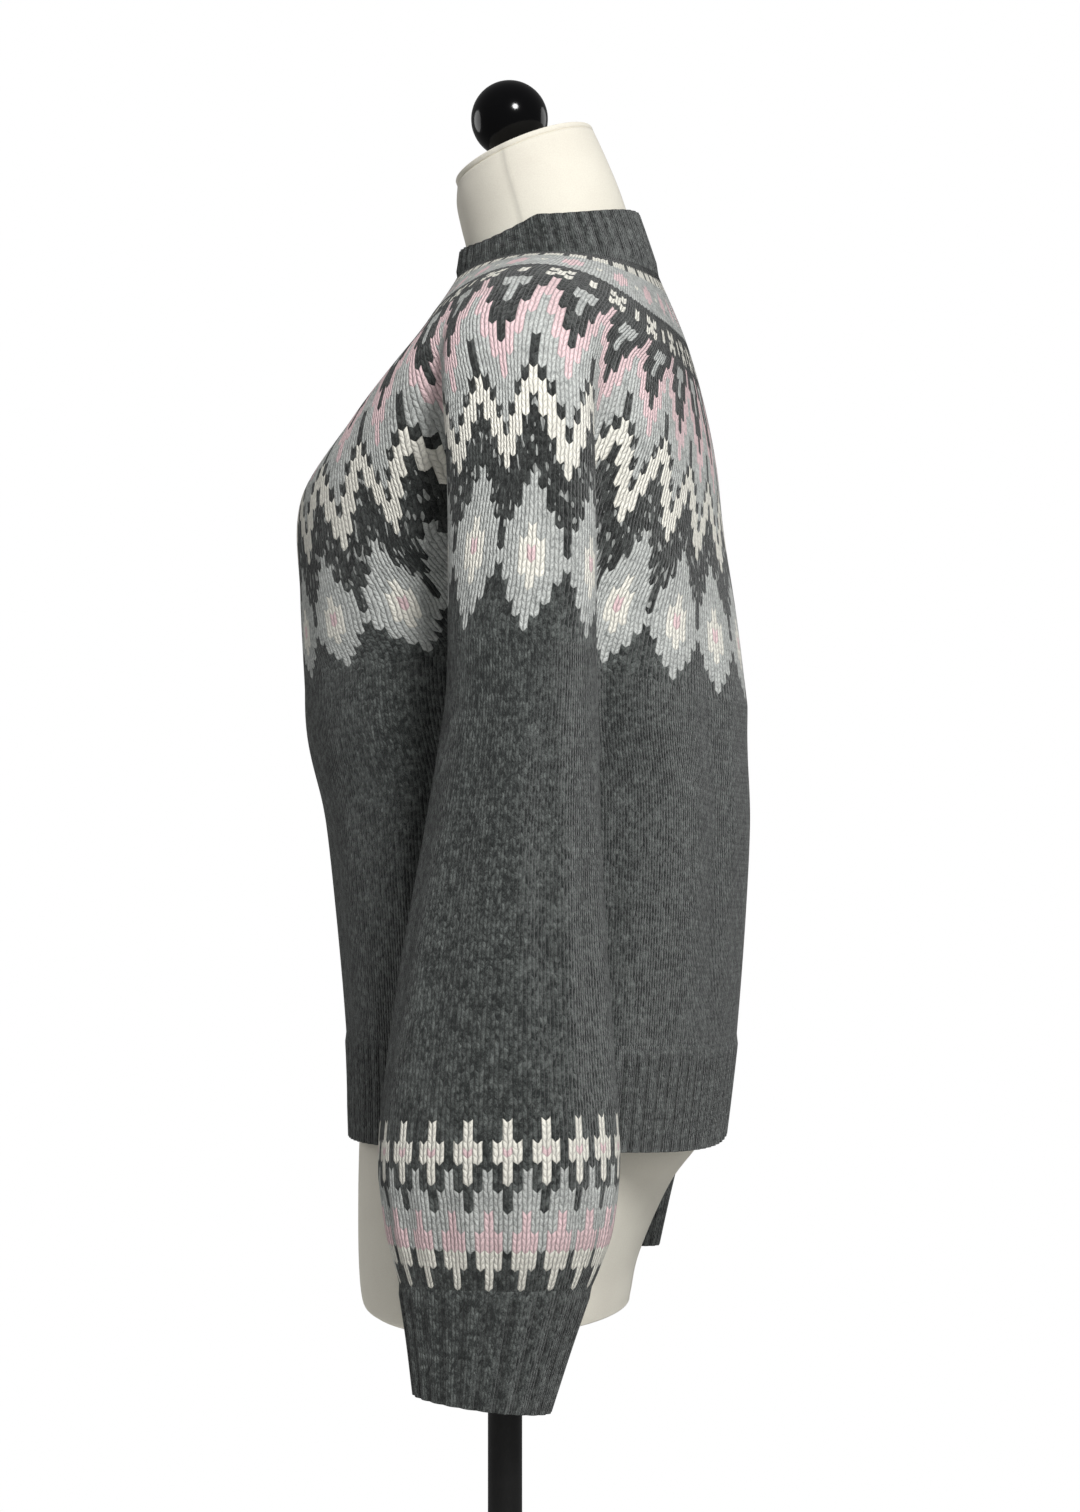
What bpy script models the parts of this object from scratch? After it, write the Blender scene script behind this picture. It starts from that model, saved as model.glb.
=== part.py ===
# Jacquard sweater with a round yoke, worn by a limbless dress form on a pole stand
# Metres, +Z up, the front faces -Y, the wearer's left is +X, origin under the base

import math

import bmesh
import bpy
from mathutils import Matrix, Vector

# Driving dimensions
WALL = 0.002
RIB_RISE = 0.0016
SEAM_GAP = 0.0004
SEAT_GAP = 0.0003

# The pattern repeats of the yoke, counted from centre front to centre back on one side
FRONT_REPEATS = 5
SLEEVE_REPEATS = 5
BACK_REPEATS = 4
HALF_REPEATS = FRONT_REPEATS + SLEEVE_REPEATS + BACK_REPEATS
COLUMNS_PER_REPEAT = 3
YOKE_BANDS = 9

# The body's ring is counted the same way, with one repeat across each underarm
BODY_HALF = FRONT_REPEATS + 1 + BACK_REPEATS
SIDE_SEAM = FRONT_REPEATS + 0.5
BODY_BANDS = 7
SEAM_SLIVER = 0.008

# The sleeve's ring: the yoke's five repeats outside, then the underarm back to the front
SLEEVE_ROUND = SLEEVE_REPEATS + 5.0 / 3.0
SLEEVE_COLUMNS = 20
SLEEVE_BANDS = 9

HEM_RIBS_FRONT = 48
HEM_RIBS_BACK = 40
COLLAR_RIBS = 44
CUFF_RIBS = 24
RIB_CREST = (0.24, 0.76)

# Yoke: sections from the neck down, by the share of the yoke's depth
YOKE_COLUMNS = ("down", "front_z", "side_z", "back_z", "front_y", "back_y", "half_x", "lobe")
YOKE_SECTIONS = (
    (0.00, 1.3700, 1.3770, 1.3715, -0.0300, 0.0985, 0.0700, 0.00),
    (0.15, 1.3340, 1.3629, 1.3323, -0.0485, 0.1150, 0.1150, 0.02),
    (0.30, 1.2978, 1.3448, 1.2922, -0.0665, 0.1265, 0.1590, 0.12),
    (0.45, 1.2627, 1.3112, 1.2511, -0.0980, 0.1345, 0.1940, 0.44),
    (0.60, 1.2244, 1.2648, 1.2093, -0.1275, 0.1390, 0.2140, 0.80),
    (0.80, 1.1658, 1.1996, 1.1541, -0.1280, 0.1475, 0.2280, 0.96),
    (1.00, 1.1070, 1.1330, 1.0980, -0.1250, 0.1545, 0.2350, 1.00),
)

# Where the sleeve folds away from the body, at the front and at the back
CREASE_X = 0.151
CREASE_FRONT_Y = 0.012
CREASE_BACK_Y = 0.066
LOBE_BULGE = 0.046
CREASE_SOFTNESS = 0.30
BODY_SQUARENESS = 0.86

# Body: sections from the yoke's seam to the hem's lower edge
BODY_COLUMNS = ("down", "front_z", "side_z", "back_z", "front_y", "back_y", "half_x")
BODY_SECTIONS = (
    (0.00, 1.1070, 1.1280, 1.0980, -0.1250, 0.1545, 0.1510),
    (0.25, 1.0390, 1.0560, 1.0320, -0.1135, 0.1565, 0.1490),
    (0.50, 0.9700, 0.9830, 0.9640, -0.1060, 0.1535, 0.1480),
    (0.77, 0.8920, 0.8960, 0.8880, -0.0985, 0.1475, 0.1530),
    (0.90, 0.8560, 0.8600, 0.8520, -0.0960, 0.1435, 0.1545),
    (1.00, 0.8280, 0.8330, 0.8240, -0.0950, 0.1400, 0.1535),
)
HEM_STARTS = 0.77
BODY_BLEND = 0.30

# Vertical folds of the body: a trough for a positive depth, a ridge for a negative one
FOLD_COLUMNS = ("at", "top_z", "low_z", "depth", "width")
BODY_FOLDS = (
    (8.55, 1.210, 0.880, 0.0060, 0.42),
    (-8.55, 1.210, 0.880, 0.0060, 0.42),
    (1.30, 1.030, 0.850, 0.0040, 0.50),
    (-1.70, 1.010, 0.850, 0.0040, 0.50),
    (4.10, 1.140, 0.950, 0.0050, 0.45),
    (-4.10, 1.140, 0.950, 0.0050, 0.45),
)

# Sleeve: sections from the underarm to the cuff
SLEEVE_SECTION_COLUMNS = ("down", "z", "front_y", "back_y", "centre_x", "half_x")
SLEEVE_SECTIONS = (
    (0.00, 1.1250, -0.0060, 0.0820, 0.1945, 0.0405),
    (0.10, 1.0880, -0.0080, 0.0828, 0.1975, 0.0400),
    (0.25, 1.0300, -0.0170, 0.0838, 0.2000, 0.0415),
    (0.45, 0.9580, -0.0300, 0.0878, 0.2030, 0.0425),
    (0.65, 0.8850, -0.0410, 0.0930, 0.2040, 0.0430),
    (0.79, 0.8350, -0.0450, 0.0956, 0.2040, 0.0425),
    (0.90, 0.7950, -0.0415, 0.0915, 0.2030, 0.0370),
    (0.96, 0.7740, -0.0365, 0.0845, 0.2015, 0.0300),
    (1.00, 0.7620, -0.0330, 0.0790, 0.2005, 0.0250),
)
SLEEVE_BLEND = 0.14

# How each sleeve hangs: the share of its full length, and how far back its cuff lies
SLEEVE_HANG = {
    1.0: {"length": 1.00, "back": 0.000},
    -1.0: {"length": 0.92, "back": 0.016},
}

# Where the yoke's front and back crease lie round the sleeve, from its front, in degrees
CREASE_FRONT_TURN = -50.0
CREASE_BACK_TURN = 230.0

# Cuff: from the sleeve's gathers to its mouth
CUFF_COLUMNS = ("down", "front_z", "back_z", "front_y", "back_y", "centre_x", "half_x")
CUFF_SECTIONS = (
    (0.0, 0.7620, 0.7620, -0.0330, 0.0790, 0.2005, 0.0250),
    (0.5, 0.7300, 0.7260, -0.0280, 0.0665, 0.2005, 0.0225),
    (1.0, 0.6980, 0.6890, -0.0240, 0.0545, 0.2005, 0.0215),
)

# Collar: from the yoke's neck edge to its top edge
COLLAR_COLUMNS = ("up", "front_z", "side_z", "back_z", "front_y", "back_y", "half_x")
COLLAR_SECTIONS = (
    (0.0, 1.3700, 1.3770, 1.3715, -0.0300, 0.0985, 0.0700),
    (0.5, 1.3785, 1.3895, 1.3920, -0.0287, 0.0918, 0.0660),
    (1.0, 1.3870, 1.4015, 1.4110, -0.0275, 0.0852, 0.0628),
)
NECK_SEAM_LEAN = 0.42

# Dress form: level sections from its lower edge to the tilted rim of the neck
FORM_COLUMNS = ("z", "front_y", "back_y", "half_x", "tilt")
FORM_SECTIONS = (
    (0.7180, -0.0840, 0.0790, 0.1300, 0.00),
    (0.7240, -0.0890, 0.0850, 0.1350, 0.00),
    (0.7500, -0.0912, 0.0940, 0.1410, 0.00),
    (0.7950, -0.0915, 0.1110, 0.1470, 0.00),
    (0.8300, -0.0910, 0.1300, 0.1475, 0.00),
    (0.8700, -0.0895, 0.1330, 0.1450, 0.00),
    (0.9300, -0.0850, 0.1250, 0.1350, 0.00),
    (1.0000, -0.0760, 0.1100, 0.1200, 0.00),
    (1.0700, -0.0880, 0.1130, 0.1260, 0.00),
    (1.1500, -0.1150, 0.1250, 0.1380, 0.00),
    (1.2200, -0.1080, 0.1280, 0.1420, 0.00),
    (1.2700, -0.0780, 0.1190, 0.1420, 0.00),
    (1.3100, -0.0500, 0.1090, 0.1450, 0.00),
    (1.3370, -0.0370, 0.1010, 0.1400, 0.00),
    (1.3530, -0.0280, 0.0940, 0.1225, 0.00),
    (1.3640, -0.0240, 0.0900, 0.0980, 0.00),
    (1.3730, -0.0235, 0.0870, 0.0700, 0.00),
    (1.3820, -0.0230, 0.0845, 0.0600, 0.04),
    (1.3960, -0.0245, 0.0815, 0.0565, 0.10),
    (1.4150, -0.0280, 0.0740, 0.0545, 0.20),
    (1.4330, -0.0305, 0.0645, 0.0535, 0.32),
    (1.4470, -0.0300, 0.0570, 0.0525, 0.40),
)
FORM_AROUND = 36

CAP_THICKNESS = 0.004
CAP_EDGE = 0.0012
BALL_RADIUS = 0.0246
BALL_STEM_RADIUS = 0.009
BALL_STEM_HEIGHT = 0.0015
BALL_AROUND = 24
BALL_STEPS = 10

POLE_RADIUS = 0.011
POLE_AROUND = 24
BASE_RADIUS = 0.160
BASE_EDGE_HEIGHT = 0.008
BASE_AROUND = 48
HUB_RADIUS = 0.026
HUB_TOP = 0.030

# Colour, roughness and metallic value of each material
MATERIALS = {
    "jacquard_knit": ((0.33, 0.32, 0.32), 0.92, 0.0),
    "charcoal_knit": ((0.065, 0.070, 0.068), 0.94, 0.0),
    "charcoal_rib": ((0.075, 0.080, 0.078), 0.94, 0.0),
    "cream_canvas": ((0.86, 0.84, 0.72), 0.85, 0.0),
    "black_gloss": ((0.010, 0.010, 0.010), 0.12, 0.0),
    "black_metal": ((0.012, 0.012, 0.012), 0.35, 0.6),
}


def mix(first, second, share):
    return first * (1.0 - share) + second * share


def ease(share):
    share = min(max(share, 0.0), 1.0)
    return share * share * (3.0 - 2.0 * share)


def section_at(columns, rows, place):
    # One row read smoothly between the rows of a table, as a dictionary of its columns
    last = len(rows) - 1
    low = 0
    while low < last - 1 and rows[low + 1][0] <= place:
        low += 1
    before = rows[max(low - 1, 0)]
    here = rows[low]
    there = rows[low + 1]
    after = rows[min(low + 2, last)]
    span = there[0] - here[0]
    share = (place - here[0]) / span
    square = share * share
    cube = square * share
    values = {}
    for index, column in enumerate(columns):
        slope_here = span * (there[index] - before[index]) / (there[0] - before[0])
        slope_there = span * (after[index] - here[index]) / (after[0] - here[0])
        values[column] = (
            (2.0 * cube - 3.0 * square + 1.0) * here[index]
            + (cube - 2.0 * square + share) * slope_here
            + (3.0 * square - 2.0 * cube) * there[index]
            + (cube - square) * slope_there
        )
    return values


def power(value, exponent):
    return math.copysign(abs(value) ** exponent, value)


def height_around(section, turn):
    # Front, side and back heights joined smoothly round a ring
    end_z = section["front_z"] if math.cos(turn) > 0.0 else section["back_z"]
    return mix(section["side_z"], end_z, math.cos(turn) ** 2)


def oval(section, turn, squareness=1.0):
    centre_y = 0.5 * (section["front_y"] + section["back_y"])
    half_y = 0.5 * (section["back_y"] - section["front_y"])
    x = section["half_x"] * power(math.sin(turn), squareness)
    y = centre_y - half_y * power(math.cos(turn), squareness)
    return x, y


def lobed_outline(section, repeat):
    # Half of the outline at the underarm: front arc, sleeve lobe and back arc
    back_start = FRONT_REPEATS + SLEEVE_REPEATS
    if repeat <= FRONT_REPEATS:
        turn = 0.5 * math.pi * repeat / FRONT_REPEATS
        x = CREASE_X * power(math.sin(turn), BODY_SQUARENESS)
        depth = section["front_y"] - CREASE_FRONT_Y
        return x, CREASE_FRONT_Y + depth * power(math.cos(turn), BODY_SQUARENESS)
    if repeat >= back_start:
        turn = 0.5 * math.pi * (HALF_REPEATS - repeat) / BACK_REPEATS
        x = CREASE_X * power(math.sin(turn), BODY_SQUARENESS)
        depth = section["back_y"] - CREASE_BACK_Y
        return x, CREASE_BACK_Y + depth * power(math.cos(turn), BODY_SQUARENESS)
    turn = math.pi * (repeat - FRONT_REPEATS) / SLEEVE_REPEATS
    half_y = 0.5 * (CREASE_BACK_Y - CREASE_FRONT_Y) + LOBE_BULGE * math.sin(turn)
    x = CREASE_X + (section["half_x"] - CREASE_X) * math.sin(turn) ** 0.8
    return x, 0.5 * (CREASE_BACK_Y + CREASE_FRONT_Y) - half_y * math.cos(turn)


def yoke_corner(section, repeat):
    # The unsoftened outline, for any repeat round the whole ring
    around = 2.0 * HALF_REPEATS
    repeat = (repeat + HALF_REPEATS) % around - HALF_REPEATS
    side = 1.0 if repeat >= 0.0 else -1.0
    turn = math.pi * abs(repeat) / HALF_REPEATS
    oval_x, oval_y = oval(section, turn)
    lobed_x, lobed_y = lobed_outline(section, abs(repeat))
    x = mix(oval_x, lobed_x, section["lobe"])
    y = mix(oval_y, lobed_y, section["lobe"])
    return Vector((side * x, y, height_around(section, turn)))


def yoke_point(repeat, down):
    section = section_at(YOKE_COLUMNS, YOKE_SECTIONS, down)
    before = yoke_corner(section, repeat - CREASE_SOFTNESS)
    after = yoke_corner(section, repeat + CREASE_SOFTNESS)
    return 0.5 * yoke_corner(section, repeat) + 0.25 * (before + after)


def underarm_ring(place):
    # The body's upper edge: the yoke's lower edge with a straight line under each sleeve
    side = 1.0 if place >= 0.0 else -1.0
    place = abs(place)
    if place <= FRONT_REPEATS:
        return yoke_point(side * place, 1.0)
    if place >= FRONT_REPEATS + 1:
        return yoke_point(side * (place + SLEEVE_REPEATS - 1), 1.0)
    front = yoke_point(side * FRONT_REPEATS, 1.0)
    back = yoke_point(side * (FRONT_REPEATS + SLEEVE_REPEATS), 1.0)
    return front.lerp(back, place - FRONT_REPEATS)


def body_point(place, down):
    # The body's outer surface, with its folds
    around = 2.0 * BODY_HALF
    place = (place + BODY_HALF) % around - BODY_HALF
    side = 1.0 if place >= 0.0 else -1.0
    section = section_at(BODY_COLUMNS, BODY_SECTIONS, down)
    turn = math.pi * abs(place) / BODY_HALF
    x, y = oval(section, turn, BODY_SQUARENESS)
    point = Vector((side * x, y, height_around(section, turn)))
    top = underarm_ring(place) - Vector((side * 0.5 * SEAM_GAP, 0.0, SEAM_GAP))
    falling = top + Vector((0.0, 0.0, point.z - body_top_height(turn)))
    share = ease(down / BODY_BLEND)
    point = falling.lerp(point, share)
    middle = Vector((0.0, 0.5 * (section["front_y"] + section["back_y"]), point.z))
    inward = (middle - point).normalized()
    return point + inward * fold_depth(place, point.z)


def body_top_height(turn):
    return height_around(section_at(BODY_COLUMNS, BODY_SECTIONS, 0.0), turn)


def fold_depth(place, z):
    depth = 0.0
    for row in BODY_FOLDS:
        fold = dict(zip(FOLD_COLUMNS, row))
        across = (place - fold["at"]) / fold["width"]
        along = (z - fold["low_z"]) / (fold["top_z"] - fold["low_z"])
        if 0.0 < along < 1.0:
            depth += fold["depth"] * math.exp(-across * across) * math.sin(math.pi * along) ** 0.7
    return depth


def sleeve_top(place, side):
    # The sleeve's upper edge: the yoke's lobe, then a straight line under the arm
    if place <= SLEEVE_REPEATS:
        point = yoke_point(side * (FRONT_REPEATS + place), 1.0)
    else:
        front = yoke_point(side * FRONT_REPEATS, 1.0)
        back = yoke_point(side * (FRONT_REPEATS + SLEEVE_REPEATS), 1.0)
        share = (place - SLEEVE_REPEATS) / (SLEEVE_ROUND - SLEEVE_REPEATS)
        point = back.lerp(front, share)
    return point + Vector((side * 0.5 * SEAM_GAP, 0.0, -SEAM_GAP))


def sleeve_turn(place):
    # The turn round the sleeve from its front, in radians
    if place <= SLEEVE_REPEATS:
        degrees = mix(CREASE_FRONT_TURN, CREASE_BACK_TURN, place / SLEEVE_REPEATS)
    else:
        share = (place - SLEEVE_REPEATS) / (SLEEVE_ROUND - SLEEVE_REPEATS)
        degrees = mix(CREASE_BACK_TURN, CREASE_FRONT_TURN + 360.0, share)
    return math.radians(degrees)


def hung(point, side):
    # A sleeve point drawn up and swung back as its side hangs
    hang = SLEEVE_HANG[side]
    top_z = SLEEVE_SECTIONS[0][1]
    drop = top_z - point.z
    full_drop = top_z - SLEEVE_SECTIONS[-1][1]
    back = hang["back"] * min(drop / full_drop, 1.0)
    return Vector((point.x, point.y + back, top_z - drop * hang["length"]))


def sleeve_point(place, down, side):
    place = place % SLEEVE_ROUND
    section = section_at(SLEEVE_SECTION_COLUMNS, SLEEVE_SECTIONS, down)
    turn = sleeve_turn(place)
    x, y = oval(section, turn)
    point = hung(Vector((side * (section["centre_x"] + x), y, section["z"])), side)
    top = sleeve_top(place, side)
    falling = top + Vector((0.0, 0.0, point.z - SLEEVE_SECTIONS[0][1]))
    return falling.lerp(point, ease(down / SLEEVE_BLEND))


def cuff_point(turn, down, side):
    section = section_at(CUFF_COLUMNS, CUFF_SECTIONS, down)
    x, y = oval(section, turn)
    z = mix(section["front_z"], section["back_z"], 0.5 - 0.5 * math.cos(turn))
    seam_drop = Vector((0.0, 0.0, SEAM_GAP))
    return hung(Vector((side * (section["centre_x"] + x), y, z)), side) - seam_drop


def collar_point(turn, up):
    section = section_at(COLLAR_COLUMNS, COLLAR_SECTIONS, up)
    x, y = oval(section, turn)
    return Vector((x, y, height_around(section, turn) + SEAM_GAP))


def surface_normal(surface, place, down, step_place, step_down, outside_of):
    # The unit normal of a surface function, pointing away from a middle point
    first = surface(place + step_place, down) - surface(place - step_place, down)
    upper = max(down - step_down, 0.0)
    lower = min(down + step_down, 1.0)
    second = surface(place, lower) - surface(place, upper)
    normal = first.cross(second).normalized()
    here = surface(place, down)
    if normal.dot(here - outside_of(here)) < 0.0:
        normal = -normal
    return normal


def level(normal):
    return Vector((normal.x, normal.y, 0.0)).normalized()


def new_object(name, mesh_builder, material):
    mesh = bpy.data.meshes.new(name)
    bmesh.ops.recalc_face_normals(mesh_builder, faces=mesh_builder.faces)
    mesh_builder.to_mesh(mesh)
    mesh_builder.free()
    mesh.shade_smooth()
    mesh.set_sharp_from_angle(angle=math.radians(40.0))
    piece = bpy.data.objects.new(name, mesh)
    piece.data.materials.append(material)
    bpy.context.collection.objects.link(piece)
    return piece


def strip(mesh_builder, first, second, closed):
    # Quads between two rows of vertices of equal length
    count = len(first) if closed else len(first) - 1
    for index in range(count):
        following = (index + 1) % len(first)
        corners = (first[index], first[following], second[following], second[index])
        mesh_builder.faces.new(corners)


def cloth_wall(outer_rows, inner_rows, closed):
    # A closed wall between an outer and an inner grid of points
    builder = bmesh.new()
    outer = [[builder.verts.new(point) for point in row] for row in outer_rows]
    inner = [[builder.verts.new(point) for point in row] for row in inner_rows]
    for grid in (outer, inner):
        for upper, lower in zip(grid, grid[1:]):
            strip(builder, upper, lower, closed)
    strip(builder, outer[0], inner[0], closed)
    strip(builder, outer[-1], inner[-1], closed)
    if not closed:
        for end in (0, -1):
            strip(builder, [row[end] for row in outer], [row[end] for row in inner], False)
    return builder


def ribbed_wall(surface, normal_at, start, width, ribs, levels, closed):
    # A wall with ribs raised in its outer points over a plain inside
    builder = bmesh.new()
    outer = []
    inner = []
    valleys = ribs if closed else ribs + 1
    for down in levels:
        outer_row = []
        inner_row = []
        for rib in range(valleys):
            place = start + width * rib / ribs
            normal = normal_at(place, down)
            base = surface(place, down)
            inner_row.append(builder.verts.new(base - normal * WALL))
            outer_row.append(builder.verts.new(base))
            if rib == ribs:
                continue
            for share in RIB_CREST:
                place = start + width * (rib + share) / ribs
                crest = surface(place, down) + normal_at(place, down) * RIB_RISE
                outer_row.append(builder.verts.new(crest))
        outer.append(outer_row)
        inner.append(inner_row)
    for grid in (outer, inner):
        for upper, lower in zip(grid, grid[1:]):
            strip(builder, upper, lower, closed)
    points_per_rib = 1 + len(RIB_CREST)
    for outer_row, inner_row in ((outer[0], inner[0]), (outer[-1], inner[-1])):
        for rib in range(ribs):
            near = inner_row[rib]
            far = inner_row[(rib + 1) % len(inner_row)]
            first = rib * points_per_rib
            arc = [outer_row[(first + step) % len(outer_row)] for step in range(points_per_rib + 1)]
            builder.faces.new((near, far, arc[-1]))
            for low, high in zip(arc, arc[1:]):
                builder.faces.new((near, low, high))
    if not closed:
        for end in (0, -1):
            strip(builder, [row[end] for row in outer], [row[end] for row in inner], False)
    return builder


def body_axis(point):
    return Vector((0.0, 0.025, point.z))


def yoke_inside(point):
    return Vector((0.0, 0.025, point.z - 0.06))


def build_yoke(material):
    outer_rows = []
    inner_rows = []
    columns = 2 * HALF_REPEATS * COLUMNS_PER_REPEAT
    for band in range(YOKE_BANDS + 1):
        down = band / YOKE_BANDS
        outer_row = []
        inner_row = []
        for column in range(columns):
            repeat = column / COLUMNS_PER_REPEAT - HALF_REPEATS
            point = yoke_point(repeat, down)
            normal = surface_normal(yoke_point, repeat, down, 0.15, 0.02, yoke_inside)
            if band == YOKE_BANDS:
                normal = level(normal)
            if band == 0:
                normal = neck_seam_normal(math.pi * repeat / HALF_REPEATS)
            outer_row.append(point)
            inner_row.append(point - normal * WALL)
        outer_rows.append(outer_row)
        inner_rows.append(inner_row)
    return new_object("yoke", cloth_wall(outer_rows, inner_rows, True), material)


def neck_seam_normal(turn):
    # The seam's own direction, shared by the yoke's neck edge and the collar
    return Vector((math.sin(turn), -math.cos(turn), NECK_SEAM_LEAN)).normalized()


def body_normal(place, down):
    normal = surface_normal(body_point, place, down, 0.15, 0.02, body_axis)
    return level(normal)


def build_body_panel(name, start, width, material):
    outer_rows = []
    inner_rows = []
    columns = round(width * COLUMNS_PER_REPEAT)
    span = width - 2.0 * SEAM_SLIVER
    for band in range(BODY_BANDS + 1):
        down = HEM_STARTS * band / BODY_BANDS
        outer_row = []
        inner_row = []
        for column in range(columns + 1):
            place = start + SEAM_SLIVER + span * column / columns
            point = body_point(place, down)
            outer_row.append(point)
            inner_row.append(point - body_normal(place, down) * WALL)
        outer_rows.append(outer_row)
        inner_rows.append(inner_row)
    return new_object(name, cloth_wall(outer_rows, inner_rows, False), material)


def hem_surface(place, down):
    return body_point(place, down) - Vector((0.0, 0.0, SEAM_GAP))


def build_hem(name, start, width, ribs, material):
    levels = (HEM_STARTS, 1.0)
    span = width - 2.0 * SEAM_SLIVER
    wall = ribbed_wall(hem_surface, body_normal, start + SEAM_SLIVER, span, ribs, levels, False)
    return new_object(name, wall, material)


def build_sleeve(name, side, material):
    def surface(place, down):
        return sleeve_point(place, down, side)

    def inside(point):
        middle_y = 0.5 * (SLEEVE_SECTIONS[1][2] + SLEEVE_SECTIONS[1][3])
        return Vector((side * SLEEVE_SECTIONS[1][4], middle_y, point.z))

    outer_rows = []
    inner_rows = []
    for band in range(SLEEVE_BANDS + 1):
        down = ease_bands(band / SLEEVE_BANDS)
        outer_row = []
        inner_row = []
        for column in range(SLEEVE_COLUMNS):
            place = SLEEVE_ROUND * column / SLEEVE_COLUMNS
            point = surface(place, down)
            normal = level(surface_normal(surface, place, down, 0.12, 0.02, inside))
            outer_row.append(point)
            inner_row.append(point - normal * WALL)
        outer_rows.append(outer_row)
        inner_rows.append(inner_row)
    return new_object(name, cloth_wall(outer_rows, inner_rows, True), material)


def ease_bands(share):
    # Bands closer together in the gathers above the cuff
    return 1.0 - (1.0 - share) ** 1.35


def build_cuff(name, side, material):
    def surface(turn, down):
        return cuff_point(turn, down, side)

    def inside(point):
        return Vector((side * CUFF_SECTIONS[0][5], 0.018, point.z))

    def normal_at(turn, down):
        return level(surface_normal(surface, turn, down, 0.05, 0.05, inside))

    levels = (0.0, 0.5, 1.0)
    wall = ribbed_wall(surface, normal_at, 0.0, 2.0 * math.pi, CUFF_RIBS, levels, True)
    return new_object(name, wall, material)


def build_collar(material):
    def normal_at(turn, up):
        return neck_seam_normal(turn) if up == 0.0 else level(neck_seam_normal(turn))

    levels = (0.0, 0.5, 1.0)
    wall = ribbed_wall(collar_point, normal_at, 0.0, 2.0 * math.pi, COLLAR_RIBS, levels, True)
    return new_object("collar_rib", wall, material)


def form_ring(section):
    ring = []
    middle_y = 0.5 * (section["front_y"] + section["back_y"])
    for step in range(FORM_AROUND):
        turn = 2.0 * math.pi * step / FORM_AROUND
        x, y = oval(section, turn)
        ring.append(Vector((x, y, section["z"] + section["tilt"] * (y - middle_y))))
    return ring


def build_form(material):
    builder = bmesh.new()
    rows = []
    for row in FORM_SECTIONS:
        section = dict(zip(FORM_COLUMNS, row))
        rows.append([builder.verts.new(point) for point in form_ring(section)])
    for lower, upper in zip(rows, rows[1:]):
        strip(builder, lower, upper, True)
    builder.faces.new(rows[0])
    builder.faces.new(rows[-1])
    return new_object("form_torso", builder, material)


def neck_frame():
    # Axes of the tilted neck rim: its centre, and a matrix whose +Z leaves the neck
    section = dict(zip(FORM_COLUMNS, FORM_SECTIONS[-1]))
    middle_y = 0.5 * (section["front_y"] + section["back_y"])
    centre = Vector((0.0, middle_y, section["z"]))
    tilt = math.atan(section["tilt"])
    turned = Matrix.Translation(centre) @ Matrix.Rotation(tilt, 4, "X")
    half_length = 0.5 * (section["back_y"] - section["front_y"]) / math.cos(tilt)
    return turned, section["half_x"], half_length


def build_neck_cap(material):
    place, half_x, half_y = neck_frame()
    profile = (
        (0.0, CAP_EDGE),
        (CAP_EDGE, 0.0),
        (CAP_THICKNESS - CAP_EDGE, 0.0),
        (CAP_THICKNESS, CAP_EDGE),
    )
    builder = bmesh.new()
    rows = []
    for height, inset in profile:
        row = []
        for step in range(FORM_AROUND):
            turn = 2.0 * math.pi * step / FORM_AROUND
            x = (half_x - inset) * math.sin(turn)
            y = -(half_y - inset) * math.cos(turn)
            row.append(builder.verts.new(place @ Vector((x, y, SEAT_GAP + height))))
        rows.append(row)
    for lower, upper in zip(rows, rows[1:]):
        strip(builder, lower, upper, True)
    builder.faces.new(rows[0])
    builder.faces.new(rows[-1])
    return new_object("form_neck_cap", builder, material)


def turned_solid(profile, steps, place):
    # A closed solid turned about +Z from (radius, height) points, then put in its place
    builder = bmesh.new()
    verts = [builder.verts.new((radius, 0.0, height)) for radius, height in profile]
    edges = [builder.edges.new(pair) for pair in zip(verts, verts[1:])]
    bmesh.ops.spin(
        builder,
        geom=verts + edges,
        cent=(0.0, 0.0, 0.0),
        axis=(0.0, 0.0, 1.0),
        angle=2.0 * math.pi,
        steps=steps,
        use_merge=True,
    )
    bmesh.ops.remove_doubles(builder, verts=builder.verts, dist=1e-6)
    bmesh.ops.transform(builder, matrix=place, verts=builder.verts)
    return builder


def build_finial(material):
    place = neck_frame()[0] @ Matrix.Translation((0.0, 0.0, CAP_THICKNESS + 2.0 * SEAT_GAP))
    stem_angle = math.asin(BALL_STEM_RADIUS / BALL_RADIUS)
    centre = BALL_STEM_HEIGHT + BALL_RADIUS * math.cos(stem_angle)
    profile = [(0.0, 0.0), (BALL_STEM_RADIUS, 0.0)]
    for step in range(BALL_STEPS + 1):
        angle = mix(stem_angle, math.pi, step / BALL_STEPS)
        radius = 0.0 if step == BALL_STEPS else BALL_RADIUS * math.sin(angle)
        profile.append((radius, centre - BALL_RADIUS * math.cos(angle)))
    return new_object("form_finial", turned_solid(profile, BALL_AROUND, place), material)


def build_pole(material):
    top = FORM_SECTIONS[0][0] - SEAT_GAP
    bottom = HUB_TOP + SEAT_GAP
    profile = ((0.0, bottom), (POLE_RADIUS, bottom), (POLE_RADIUS, top), (0.0, top))
    return new_object("stand_pole", turned_solid(profile, POLE_AROUND, Matrix()), material)


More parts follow.
